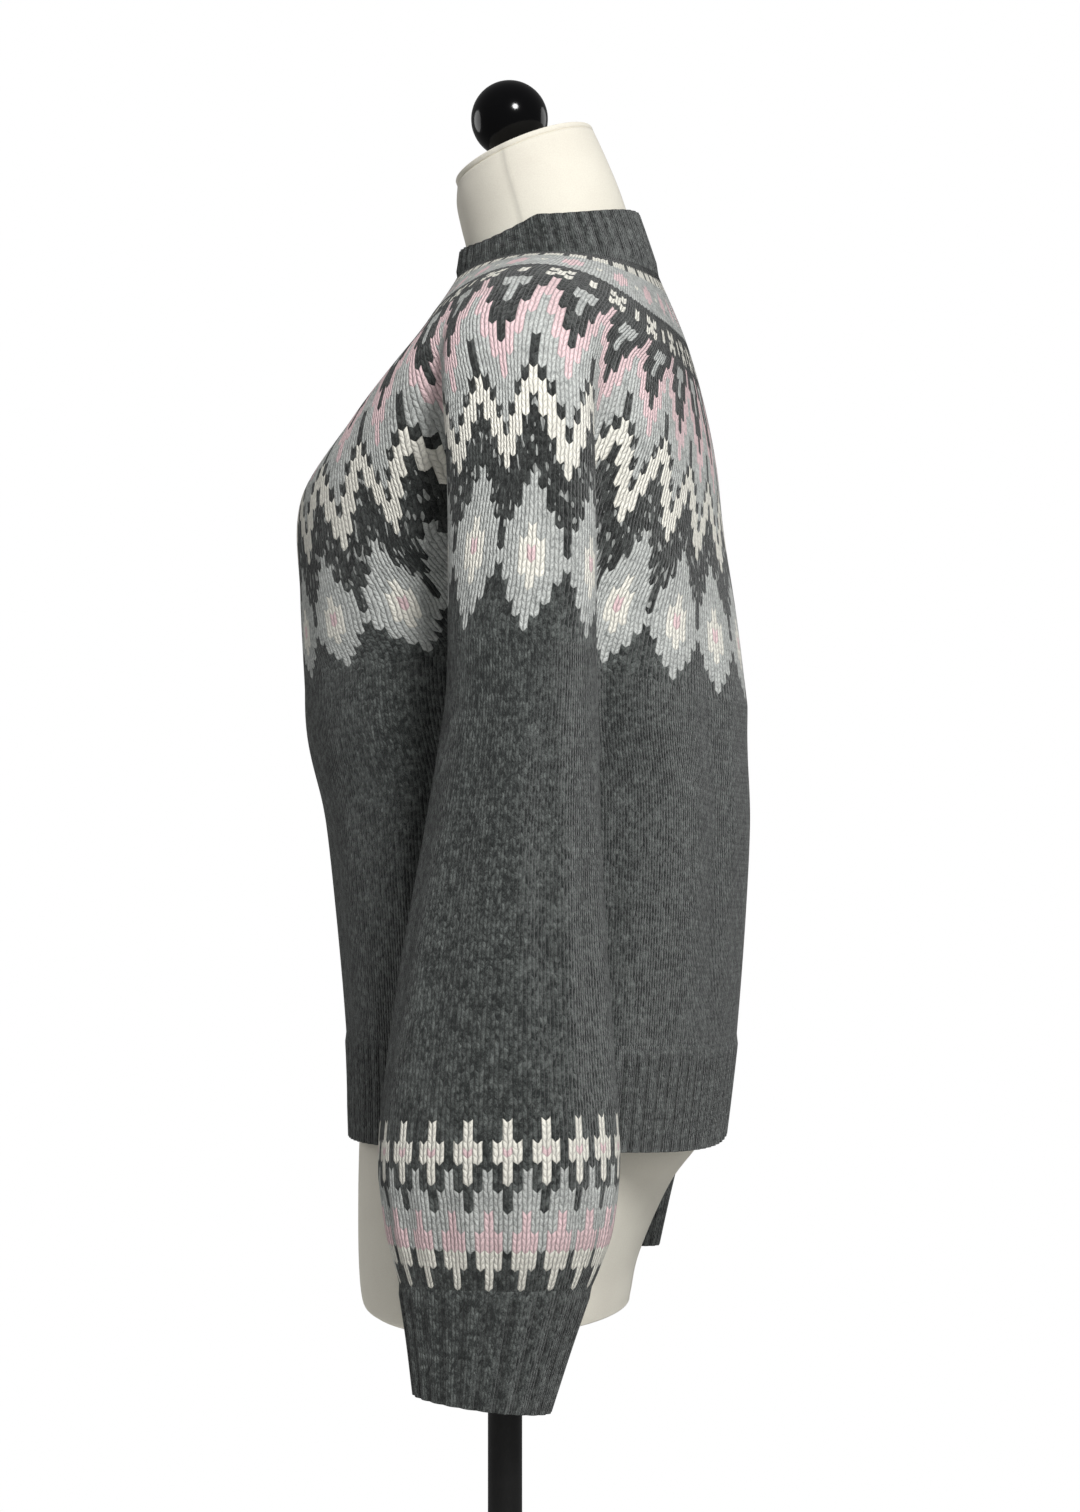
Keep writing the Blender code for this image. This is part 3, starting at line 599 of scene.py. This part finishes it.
def coverFinish(name):
    finish = Finish(name)
    where = finish.place()
    height = finish.node("ShaderNodeSeparateXYZ", {}, {0: where}, "Z")
    weft = (height * coverLook["threads"]).fract()
    weft = weft * (1 - weft) * 4
    grain = finish.noise(where, *coverLook["grain"])
    cloud = finish.noise(where, *coverLook["cloud"])
    # random darker blotches of the cloth, from noise alone
    soiled = ((grain - 0.5) * 1.3 + (cloud - 0.5) * 1.2 + 0.35).clamped()
    colour = finish.blend(soiled, coverLook["cloth"], coverLook["darkerCloth"])
    colour = finish.scaled(colour, finish.attribute("seam") * -coverLook["seamShade"] + 1)
    return finish.shader({
        "Base Color": colour,
        "Roughness": (grain - 0.5) * 0.2 + coverLook["roughness"],
        "Sheen Weight": coverLook["sheen"],
        "Sheen Roughness": 0.5,
        "Normal": finish.bump(weft * 0.5 + grain, coverLook["relief"]),
    })


smoothLooks = {
    "black gloss": {
        "colours": (fromScreen(5, 5, 6), fromScreen(11, 11, 12)),
        "smudges": (60.0, 4.0),
        "clean": 0.3,  # smudges below this don't show
        "grain": (900.0, 2.0),
        "relief": (0.00002, 0.3),
        "roughness": (0.10, 0.06),  # without a smudge, and how much one adds
        "metallic": 0.0,
        "specular": 0.22,
    },
    "black paint": {
        "colours": (fromScreen(18, 18, 18), fromScreen(38, 38, 38)),
        "smudges": (35.0, 4.0),
        "clean": 0.35,
        "grain": (700.0, 3.0),
        "relief": (0.00006, 0.6),
        "roughness": (0.26, 0.18),
        "metallic": 0.2,
        "specular": 0.5,
    },
}


def smoothFinish(name):
    look = smoothLooks[name]
    finish = Finish(name)
    where = finish.place()
    smudge = finish.noise(where, *look["smudges"])
    least, added = look["roughness"]
    return finish.shader({
        "Base Color": finish.blend((smudge - look["clean"]).clamped(), *look["colours"]),
        "Roughness": smudge * added + least,
        "Metallic": look["metallic"],
        "Specular IOR Level": look["specular"],
        "Normal": finish.bump(finish.noise(where, *look["grain"]), *look["relief"]),
    })


jacquardKnit = knitFinish("jacquard knit", patterned=True, flecked=True)
bandKnit = knitFinish("sleeve band knit", patterned=True)
charcoalKnit = knitFinish("charcoal knit")
charcoalRib = knitFinish("charcoal rib", ribbed=True)
creamCover = coverFinish("cream cover")
blackGloss = smoothFinish("black gloss")
blackPaint = smoothFinish("black paint")
print("finishes made")


# Making the pieces

sharpAngles = {"wall": math.radians(70), "turned": math.radians(35)}
mergeDistance = 1e-6


def read(values, name, width=1, kind=float):
    found = np.empty(len(values) * width, kind)
    values.foreach_get(name, found)
    return found


def built(builder, mesh):
    builder.to_mesh(mesh)
    builder.free()
    return mesh


def finishPiece(piece, node):
    if piece.name not in bpy.context.scene.collection.objects:
        bpy.context.scene.collection.objects.link(piece)
    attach(piece, "root")
    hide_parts(node)


def clothPiece(
    name, columns, rows, surface, stitches, material, closed=True, marks=None, thickness=clothThickness
):
    # a grid of columns by rows, laid on a surface(column, row), with its stitches as a UV map
    builder = bmesh.new()
    bmesh.ops.create_grid(builder, x_segments=columns, y_segments=rows, size=0.5)
    mesh = built(builder, bpy.data.meshes.new(name))
    x, y, _ = read(mesh.vertices, "co", 3).reshape(-1, 3).T
    column, row = np.round((x + 0.5) * columns), np.round((y + 0.5) * rows)
    mesh.vertices.foreach_set("co", surface(column, row).ravel())
    corners = read(mesh.loops, "vertex_index", kind=int)
    acrossStitches, upRows = stitches(column, row)
    uv = mesh.uv_layers.new(name="stitches")
    uv.data.foreach_set("uv", np.stack([acrossStitches[corners], upRows[corners]], axis=-1).ravel())
    if marks:
        faceColumn = column[corners].reshape(-1, 4).min(axis=1)
        faceRow = row[corners].reshape(-1, 4).min(axis=1)
        for markName, values in marks(faceColumn, faceRow).items():
            mesh.attributes.new(markName, "FLOAT", "FACE").data.foreach_set("value", values)
    return shellPiece(name, mesh, material, closed, thickness)


def shellPiece(name, mesh, material, closed, thickness):
    if closed:
        builder = bmesh.new()
        builder.from_mesh(mesh)
        bmesh.ops.remove_doubles(builder, verts=builder.verts, dist=mergeDistance)
        built(builder, mesh)
    mesh.shade_smooth()
    mesh.materials.append(material)
    piece = bpy.data.objects.new(name, mesh)
    bpy.context.scene.collection.objects.link(piece)
    if thickness:
        wall = piece.modifiers.new("wall", "SOLIDIFY")
        wall.thickness = thickness
        wall.offset = -1.0
        wall.use_quality_normals = True
        # made real here, so that its rims are sharp and pieces meet without a dark line
        graph = bpy.context.evaluated_depsgraph_get()
        walled = piece.evaluated_get(graph)
        thick = bpy.data.meshes.new_from_object(walled, preserve_all_data_layers=True, depsgraph=graph)
        piece.modifiers.clear()
        piece.data = thick
        thick.name = name
        thick.set_sharp_from_angle(angle=sharpAngles["wall"])
    return piece


# Yoke: half of one repeat, from the column between two diamonds to the column through one,
# drawn from the neck down. A dot is charcoal, g grey, c cream and p pink
yokeChart = """
..... ..... cc.cc cc.cc ggggg ggggg ggggp gggpp cggpp gggpp
ggggp ggggg ggggg ..... ..... ...c. c..cc c...c c..cc ...c.
..... ....p gg..p gg..p gg..p g..pp g..pp g..pg g..pg ..ppg
..ppg ..pgg ..pgg .ppgg .ppgg .pgg. ppgg. ppgg. pggg. pggg.
pgg.c ggg.c gg.cc gg.cc ggcc. g.cc. g.cc. gcc.. .cc.. .cc..
cc... cc... cc... c.... c.... ....g ....g ...gg ...gg ...gg
..ggg ..ggg .gggc .gggc .ggcc .ggcp gggcp gggcc .ggcc .gggc
..ggc ..ggg ..ggg ...gg ...gg ....g ....g .....
"""
# Sleeve band, from the top down: the column through a motif, and the next two
sleeveChart = """
c.. c.. c.. cc. pc. cc. c.. c.g c.g ..g .gg .gg .gg
ggp ggp ggp gpp gpp gpp .cc .cc .cc ..c ..c ..c ..c
"""
yarnNumbers = {".": 0, "g": 1, "c": 2, "p": 3}


def chartRows(text, stitchesPerRepeat):
    # the chart as numbers, its lowest row first, with each half repeat mirrored to a whole one
    half = np.array([[yarnNumbers[mark] for mark in row] for row in text.split()])[::-1]
    return np.concatenate([half, half[:, stitchesPerRepeat // 2 - 1:0:-1]], axis=1)


def yarnMarks(chart, stitch, row):
    # the yarn of each face and of the face below it. Rows outside the chart are plain
    padded = np.pad(chart, ((1, 2), (0, 0)))
    at = np.minimum(row.astype(int), len(chart) + 1) + 1
    return {"yarn": padded[at, stitch].astype(float), "yarnBelow": padded[at - 1, stitch].astype(float)}


legColumns = 2  # mesh columns in each stitch
stitchOffset = 1000  # keeps the stitches' numbers positive, for the fraction in the finish
yoke = {"repeats": 27, "stitchesPerRepeat": 8, "rows": len(yokeChart.split())}
# Where each repeat lies round the yoke, at seven chart rows counted from the lower edge
placeRows = (1, 11, 22, 37, 50, 60, 77)
placeTable = (
    (-1.0, -1.1, -1.0, -1.0, -0.9, -0.9, -0.85, -0.9),
    (0.0, 0.0, 0.0, 0.0, 0.0, 0.0, 0.0, 0.0),
    (1.5, 1.7, 1.5, 1.4, 1.35, 1.3, 1.25, 1.3),
    (2.5, 2.9, 2.6, 2.35, 2.3, 2.2, 2.1, 2.2),
    (3.5, 4.3, 4.0, 3.55, 3.35, 3.1, 2.95, 3.1),
    (4.5, 5.3, 4.95, 4.4, 4.2, 4.0, 3.8, 4.0),
    (5.5, 6.0, 6.0, 6.1, 5.9, 4.95, 4.7, 5.1),
    (6.5, 6.75, 6.9, 7.05, 7.0, 6.3, 5.9, 6.6),
    (7.5, 7.6, 7.7, 7.75, 7.8, 7.85, 8.0, 8.5),
    (8.5, 8.6, 8.75, 8.8, 9.1, 9.4, 9.85, 10.3),
    (9.5, 9.4, 9.65, 10.0, 10.6, 10.6, 11.1, 11.5),
    (10.5, 10.3, 10.5, 11.1, 11.6, 11.6, 12.05, 12.3),
    (11.5, 11.5, 11.65, 12.0, 12.4, 12.5, 12.75, 12.95),
    (12.5, 12.8, 12.85, 12.9, 13.2, 13.3, 13.35, 13.5),
    (13.5, 14.0, 14.0, 14.0, 14.0, 14.0, 14.0, 14.0),
    (14.5, 15.2, 15.15, 15.1, 14.8, 14.7, 14.65, 14.5),
)
# How far the chart rows hang below an even spacing, at six chart rows, in parts of the yoke's depth
archRows = (0, 11, 22, 37, 55, yoke["rows"])
archTable = (
    (-1.5, 0, 0.046, 0.055, 0.058, 0.015, 0),
    (0.0, 0, 0.048, 0.057, 0.058, 0.015, 0),
    (2.5, 0, 0.046, 0.055, 0.060, 0.015, 0),
    (3.5, 0, 0.048, 0.060, 0.060, 0.015, 0),
    (4.5, 0, 0.046, 0.050, 0.063, 0.015, 0),
    (5.5, 0, 0.020, 0.022, 0.050, 0.012, 0),
    (6.5, 0, 0.000, 0.002, 0.034, -0.008, 0),
    (7.5, 0, 0.012, 0.010, 0.006, -0.012, 0),
    (8.5, 0, 0.012, 0.018, 0.002, 0.006, 0),
    (9.5, 0, 0.020, 0.010, -0.006, 0.016, 0),
    (10.5, 0, 0.028, 0.002, -0.018, 0.004, 0),
    (11.5, 0, 0.025, 0.006, 0.004, 0.002, 0),
    (12.5, 0, 0.022, 0.007, 0.005, 0.000, 0),
    (13.5, 0, 0.020, 0.007, 0.005, 0.000, 0),
    (15.0, 0, 0.022, 0.007, 0.005, 0.000, 0),
)


def atRow(levels, table, repeat, row):
    # reads a table smoothly between its repeats, and then between its chart rows
    values = readTable(("repeat", *levels), table, np.abs(repeat))
    found = values[levels[0]]
    for low, high in zip(levels, levels[1:]):
        share = np.clip((row - low) / (high - low), 0, 1)
        found = mix(found, values[high], mix(share, ease(share), 0.5))
    return found


def patternPlace(repeat, row):
    side = np.where(repeat >= 0, 1.0, -1.0)
    down = 1 - row / yoke["rows"] + atRow(archRows, archTable, repeat, row)
    return side * atRow(placeRows, placeTable, repeat, row), np.clip(down, 0, 1)


def foldedYoke(repeat, down):
    # the yoke's lower part follows the body's folds
    point = yokePoint(repeat, down)
    wrapped = wrap(repeat, 2 * halfRepeats)
    side = np.where(wrapped >= 0, 1.0, -1.0)
    size = np.abs(wrapped)
    onBack = size - sleeveRepeats + underarmPlaces
    place = np.where(size <= frontRepeats, size, np.where(size >= backFrom, onBack, sideSeam))
    return pushedIn(point, creases(bodyFolds, side * place, point[..., 2]))


def makeYoke():
    perRepeat = yoke["stitchesPerRepeat"]
    chart = chartRows(yokeChart, perRepeat)
    repeatColumns = perRepeat * legColumns
    columns = yoke["repeats"] * repeatColumns

    def patternOf(column):
        return column / repeatColumns - yoke["repeats"] / 2

    def surface(column, row):
        return foldedYoke(*patternPlace(patternOf(column), row))

    def stitches(column, row):
        return patternOf(column) * perRepeat + 0.5 + stitchOffset, row

    def marks(column, row):
        stitch = np.floor(patternOf(column + 0.5) * perRepeat + 0.5).astype(int) % perRepeat
        return yarnMarks(chart, stitch, row)

    piece = clothPiece("yokeKnit", columns, yoke["rows"], surface, stitches, jacquardKnit, marks=marks)
    finishPiece(piece, "yoke")


makeYoke()
print("yoke knitted")

body = {"stitches": 96, "rows": 64, "hemRows": 20, "frontRibs": 48, "backRibs": 40}
sideGap = 0.016  # the gap at each side seam, in places round the body
frontSpan = {"start": -sideSeam, "width": 2 * sideSeam}
backSpan = {"start": sideSeam, "width": 2 * (bodyHalf - sideSeam)}


def eachColumn(column, row):
    return column, row


def placeAcross(span, share):
    return span["start"] + 0.5 * sideGap + (span["width"] - sideGap) * share


def makeBodyPanel(name, node, span):
    columns, rows = body["stitches"], body["rows"]

    def surface(column, row):
        return bodyPoint(placeAcross(span, column / columns), hemStarts * (1 - row / rows))

    piece = clothPiece(name, columns, rows, surface, eachColumn, charcoalKnit, closed=False)
    finishPiece(piece, node)


makeBodyPanel("bodyFrontKnit", "body_front", frontSpan)
makeBodyPanel("bodyBackKnit", "body_back", backSpan)
print("body knitted")


rib = {
    "rise": 0.0013,
    "broadness": 0.55,
    "columnsEach": 8,
    "stitchesEach": 3,
    "fade": 0.10,  # the share of the height over which the ribs rise from the seam
    # the rows over which the painted rib shade evens out towards the seam
    "fadeRows": 3,
    "rimRow": 0.15,
}


def ribProfile(share):
    # height across one rib: a broad round crest and a narrow valley
    return (0.5 - 0.5 * np.cos(2 * math.pi * share)) ** rib["broadness"]


def ribPiece(name, node, ribs, rows, surface, normal, closed, joinedAtTop=True):
    columns = ribs * rib["columnsEach"]

    def ribbed(column, row):
        # the first and last rows are narrow, which keeps the rim's round edge small
        isRim, isFirst = (row < 0.5) | (row > rows - 0.5), row < 1.5
        inner = np.clip(row, rib["rimRow"], rows - rib["rimRow"])
        up = np.where(isRim, row, np.where(isFirst, inner - 1 + rib["rimRow"], inner)) / rows
        crest = ribProfile(column / rib["columnsEach"]) * ease((1 - up if joinedAtTop else up) / rib["fade"])
        return surface(column / columns, up) + normal(column / columns, up) * (rib["rise"] * crest)[..., None]

    def stitches(column, row):
        return column / rib["columnsEach"] * rib["stitchesEach"], row

    piece = clothPiece(name, columns, rows, ribbed, stitches, charcoalRib, closed=closed)
    mesh = piece.data
    uv = read(mesh.uv_layers["stitches"].data, "uv", 2)
    # where each corner lies on its rib, for the painted rib shade, which evens out towards the seam
    fromSeam = rows - uv[1::2] if joinedAtTop else uv[1::2]
    crest = 1 - (1 - ribProfile(uv[::2] / rib["stitchesEach"])) * ease(fromSeam / rib["fadeRows"])
    mesh.attributes.new("crest", "FLOAT", "CORNER").data.foreach_set("value", crest)
    finishPiece(piece, node)


# the steps with which a rib's direction is measured, and how near to the rims
probe = {"across": 0.01, "up": 0.05, "lowest": 0.06, "highest": 0.94}


def levelNormal(surface):
    # a function for the surface's own normal, turned level
    def normal(share, up):
        up = np.clip(up, probe["lowest"], probe["highest"])
        return unit(outward(surface, share, up, probe["across"], probe["up"]) * (1.0, 1.0, 0.0))

    return normal


def makeHem(name, node, span, ribs):
    def surface(share, up):
        return bodyPoint(placeAcross(span, share), 1 - (1 - hemStarts) * up)

    ribPiece(name, node, ribs, body["hemRows"], surface, levelNormal(surface), False)


makeHem("hemRibFrontKnit", "hem_rib_front", frontSpan, body["frontRibs"])
makeHem("hemRibBackKnit", "hem_rib_back", backSpan, body["backRibs"])
print("hem ribbed")

sleeve = {"stitches": 80, "rows": 100, "stitchesPerRepeat": 4, "archUp": 0.046}


def makeSleeve(name, node, side):
    chart = chartRows(sleeveChart, sleeve["stitchesPerRepeat"])
    rows, columns = sleeve["rows"], legColumns * sleeve["stitches"]

    def placeOf(column):
        place = sleeveRound * column / columns
        return place if side > 0 else sleeveRound - place

    def surface(column, row):
        # the rows arch upwards in the middle of the sleeve
        place, share = placeOf(column), row / rows
        arch = sleeve["archUp"] * np.sin(math.pi * place / sleeveRound) ** 2
        return sleevePoint(place, 1 - share - arch * np.sin(math.pi * share) ** 2, side)

    def stitches(column, row):
        return column / legColumns + 0.5, row

    def marks(column, row):
        stitch = np.floor((column + 0.5) / legColumns + 0.5).astype(int) % sleeve["stitchesPerRepeat"]
        return yarnMarks(chart, stitch, row)

    piece = clothPiece(name, columns, rows, surface, stitches, bandKnit, marks=marks)
    finishPiece(piece, node)


cuff = {"ribs": 24, "rows": 20, "farSwing": 0.009}


def makeCuff(name, node, side):
    def surface(share, up):
        turn = 2 * math.pi * share * side
        section = readTable(cuffColumns, cuffSections, 1 - up)
        x, y = oval(section, turn)
        z = mix(section["frontZ"], section["backZ"], 0.5 - 0.5 * np.cos(turn))
        swung = cuff["farSwing"] * (1 - up) if side < 0 else 0.0
        return hung(side * (section["centreX"] + x), y + swung, z, side)

    ribPiece(name, node, cuff["ribs"], cuff["rows"], surface, levelNormal(surface), True)


for sideName, side in (("left", 1), ("right", -1)):
    makeSleeve(f"{sideName}SleeveKnit", f"sleeve_{sideName}", side)
    makeCuff(f"{sideName}CuffRibKnit", f"cuff_{sideName}", side)
print("sleeves and cuffs knitted")


collar = {"ribs": 44, "rows": 10, "frontShare": 0.75, "frontSlope": 1.6, "seamLean": 0.42}


def makeCollar():
    def surface(share, up):
        turn = 2 * math.pi * share
        section = readTable(collarColumns, collarSections, up)
        x, y = oval(section, turn)
        # the rim slopes down to the front
        reached = np.clip(np.cos(turn) / collar["frontShare"], 0, 1)
        towardsFront = 1 - (1 - reached) ** collar["frontSlope"]
        low = mix(section["sideZ"], section["frontZ"], mix(np.cos(turn) ** 2, towardsFront, ease(up)))
        high = mix(section["sideZ"], section["backZ"], np.cos(turn) ** 2)
        return points(x, y, np.where(np.cos(turn) > 0, low, high))

    def normal(share, up):
        turn = 2 * math.pi * share
        return unit(points(np.sin(turn), -np.cos(turn), collar["seamLean"] * (1 - ease(2 * up))))

    # a band that is lower in front
    ribs, rows = collar["ribs"], collar["rows"]
    ribPiece("collarRibKnit", "collar_rib", ribs, rows, surface, normal, True, joinedAtTop=False)


makeCollar()
print("collar ribbed")


# Dress form and stand

cover = {"around": 180, "rows": 150, "seamTurns": (0, 79, 180, 281), "seamWidth": 0.0020}


def makeForm():
    numbered = [(index, *section) for index, section in enumerate(formSections)]

    def surface(column, row):
        at = row / cover["rows"] * (len(formSections) - 1)
        section = readTable(("index", *formColumns), numbered, at)
        turn = 2 * math.pi * column / cover["around"]
        x, y = oval(section, turn)
        middleY, _ = depthOf(section)
        return points(x, y, section["z"] + section["tilt"] * (y - middleY))

    # the cover's ends are closed later, so it is built without a wall
    columns, rows = cover["around"], cover["rows"]
    return clothPiece("formCover", columns, rows, surface, eachColumn, creamCover, thickness=0)


def closeEnds(piece):
    builder = bmesh.new()
    builder.from_mesh(piece.data)
    rims = [edge for edge in builder.edges if edge.is_boundary]
    bmesh.ops.holes_fill(builder, edges=rims, sides=0)
    bmesh.ops.triangulate(builder, faces=[face for face in builder.faces if len(face.verts) > 4])
    built(builder, piece.data)


formCover = makeForm()
closeEnds(formCover)
finishPiece(formCover, "form_torso")


def markSeams(piece):
    # 1 where the cover has a seam, and 0 off it
    mesh = piece.data
    x, y, z = read(mesh.vertices, "co", 3).reshape(-1, 3).T
    section = readTable(formColumns, formSections, np.clip(z, formSections[0][0], formSections[-1][0]))
    middleY, halfY = depthOf(section)
    turn = np.degrees(np.arctan2(x / section["halfX"], (middleY - y) / halfY))
    seam = np.zeros(len(x))
    for at in cover["seamTurns"]:
        off = np.radians(wrap(turn - at, 360)) * section["halfX"] / cover["seamWidth"]
        seam = np.maximum(seam, np.exp(-(off**2)))
    mesh.attributes.new("seam", "FLOAT", "POINT").data.foreach_set("value", seam)


markSeams(formCover)


def turned(name, profile, place, material, steps=96):
    # a profile of (radius, height) points turned about +Z, then put in its place
    builder = bmesh.new()
    line = [builder.verts.new((radius, 0, height)) for radius, height in profile]
    edges = [builder.edges.new(pair) for pair in zip(line, line[1:])]
    whole = {"cent": (0, 0, 0), "axis": (0, 0, 1), "angle": 2 * math.pi, "use_merge": True}
    bmesh.ops.spin(builder, geom=line + edges, steps=steps, **whole)
    bmesh.ops.remove_doubles(builder, verts=builder.verts, dist=mergeDistance)
    bmesh.ops.recalc_face_normals(builder, faces=builder.faces)
    bmesh.ops.transform(builder, matrix=place, verts=builder.verts)
    mesh = built(builder, bpy.data.meshes.new(name))
    mesh.shade_smooth()
    mesh.set_sharp_from_angle(angle=sharpAngles["turned"])
    mesh.materials.append(material)
    return bpy.data.objects.new(name, mesh)


def arc(radius, centreR, centreZ, fromDegrees, toDegrees, steps):
    # points on a part of a circle, its angles from the profile's +radius direction
    turns = [math.radians(mix(fromDegrees, toDegrees, step / steps)) for step in range(steps + 1)]
    return [(centreR + radius * math.cos(a), centreZ + radius * math.sin(a)) for a in turns]


topSection = dict(zip(formColumns, formSections[-1]))
neckTilt = math.atan(topSection["tilt"])
neckY, neckHalfY = depthOf(topSection)
neckCentre = Vector((0, neckY, topSection["z"]))
neckPlace = Matrix.Translation(neckCentre) @ Matrix.Rotation(neckTilt, 4, "X")
cap = {"thickness": 0.004, "edge": 0.0014, "gap": 0.00005}
ball = {"radius": 0.0246, "stem": 0.009, "stemHeight": 0.0015}


def makeCap():
    halfX, halfY, edge = topSection["halfX"], neckHalfY / math.cos(neckTilt), cap["edge"]
    profile = [(0, 0), (halfX - edge, 0)]
    profile += arc(edge, halfX - edge, edge, -90, 0, 5)[1:]
    profile += arc(edge, halfX - edge, cap["thickness"] - edge, 0, 90, 5)
    profile += [(0, cap["thickness"])]
    stretch = Matrix.Diagonal((1, halfY / halfX, 1, 1))
    place = neckPlace @ Matrix.Translation((0, 0, cap["gap"])) @ stretch
    piece = turned("neckCap", profile, place, creamCover)
    finishPiece(piece, "form_neck_cap")
    markSeams(piece)


def makeBall():
    lift = cap["thickness"] + 2 * cap["gap"]
    radius, stem = ball["radius"], ball["stem"]
    centre = ball["stemHeight"] + math.sqrt(radius**2 - stem**2)
    profile = [(0, 0), (stem, 0), (stem, ball["stemHeight"])]
    profile += arc(radius, 0, centre, -math.degrees(math.acos(stem / radius)), 90, 40)[1:-1]
    profile += [(0, centre + radius)]
    piece = turned("blackBall", profile, neckPlace @ Matrix.Translation((0, 0, lift)), blackGloss, 64)
    finishPiece(piece, "form_finial")


stand = {
    "poleRadius": 0.011,
    "poleEdge": 0.0008,
    "plateRadius": 0.160,
    "plateEdge": 0.008,
    # radius and height of the points from the plate up to the hub
    "slope": [
        (0.100, 0.0092), (0.070, 0.0104), (0.050, 0.0120), (0.040, 0.0140), (0.032, 0.0172), (0.026, 0.0205),
    ],
    "hubRadius": 0.026,
    "hubTop": 0.030,
    "hubEdge": 0.002,
}


def makeStand():
    low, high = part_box("stand_pole")
    radius, edge = stand["poleRadius"], stand["poleEdge"]
    profile = [(0, low.z), (radius - edge, low.z), (radius, low.z + edge)]
    profile += [(radius, high.z - edge), (radius - edge, high.z), (0, high.z)]
    finishPiece(turned("pole", profile, Matrix(), blackPaint, 64), "stand_pole")

    rounding = stand["plateEdge"] / 3
    rim = stand["plateRadius"] - rounding
    profile = [(0, 0)] + arc(rounding, rim, rounding, -90, 0, 6)
    profile += arc(rounding, rim, 2 * rounding, 0, 90, 6)
    profile += stand["slope"]
    hubEdge, hubTop = stand["hubEdge"], stand["hubTop"]
    profile += arc(hubEdge, stand["hubRadius"] - hubEdge, hubTop - hubEdge, 0, 90, 5)
    profile += [(0, hubTop)]
    finishPiece(turned("baseDisc", profile, Matrix(), blackPaint, 128), "stand_base")


makeCap()
makeBall()
makeStand()
print("dress form and stand made")


# Floor, lights and camera

floorLook = {
    "radius": 1.5,
    "drop": 0.0005,  # how far it lies below the base
    "pale": fromScreen(236, 236, 234),
    "worn": fromScreen(226, 226, 226),
}


def makeFloor():
    builder = bmesh.new()
    bmesh.ops.create_circle(builder, cap_ends=True, segments=96, radius=floorLook["radius"])
    bmesh.ops.translate(builder, verts=builder.verts, vec=(0, 0, -floorLook["drop"]))
    mesh = built(builder, bpy.data.meshes.new("paleFloor"))
    finish = Finish("pale floor")
    grain = finish.noise(finish.place(), 30.0, 3.0)
    colour = finish.blend(grain * 0.2, floorLook["pale"], floorLook["worn"])
    mesh.materials.append(finish.shader({"Base Color": colour, "Roughness": 0.7}))
    floor = bpy.data.objects.new("paleFloor", mesh)
    bpy.context.scene.collection.objects.link(floor)


def makeLight(name, place, aim, size, power):
    light = bpy.data.lights.new(name, "AREA")
    light.shape = "DISK"
    light.size = size
    light.energy = power
    lamp = bpy.data.objects.new(name, light)
    lamp.location = place
    lamp.rotation_euler = (Vector(aim) - Vector(place)).to_track_quat("-Z", "Y").to_euler()
    bpy.context.scene.collection.objects.link(lamp)


# name, place, aim, size and power
lights = (
    ("keyLight", (2.15, 1.05, 2.7), (0, 0.05, 1.1), 0.7, 84),
    ("frontRim", (-0.6, -2.0, 1.5), (0, 0, 1.0), 1.3, 11),
    ("backRim", (-1.5, 1.6, 1.7), (0, 0, 1.1), 1.3, 7),
)
studio = {"fillStrength": 0.16, "backdrop": 1.0}


def makeWorld():
    world = bpy.data.worlds.new("studio")
    world.use_nodes = True
    nodes, links = world.node_tree.nodes, world.node_tree.links
    nodes.clear()
    rays, either = nodes.new("ShaderNodeLightPath"), nodes.new("ShaderNodeMixShader")
    output = nodes.new("ShaderNodeOutputWorld")
    links.new(rays.outputs["Is Camera Ray"], either.inputs[0])
    # the camera sees a white backdrop, and everything else gets a weak fill
    for socket, strength in ((1, studio["fillStrength"]), (2, studio["backdrop"])):
        background = nodes.new("ShaderNodeBackground")
        background.inputs["Strength"].default_value = strength
        background.inputs["Color"].default_value = (1, 1, 1, 1)
        links.new(background.outputs[0], either.inputs[socket])
    links.new(either.outputs[0], output.inputs["Surface"])
    bpy.context.scene.world = world


makeFloor()
makeWorld()
for light in lights:
    makeLight(*light)

view = {"place": (1.9799, 0.2832, 1.066), "look": (-0.9914, -0.1305, 0.0), "lens": 74.4, "sensor": 36.0}
camera = bpy.data.objects.new("camera", bpy.data.cameras.new("camera"))
camera.data.lens = view["lens"]
camera.data.sensor_width = view["sensor"]
camera.location = view["place"]
camera.rotation_euler = Vector(view["look"]).to_track_quat("-Z", "Y").to_euler()
bpy.context.scene.collection.objects.link(camera)
bpy.context.scene.camera = camera
bpy.context.scene.view_settings.view_transform = "Standard"
print("floor, lights and camera placed")
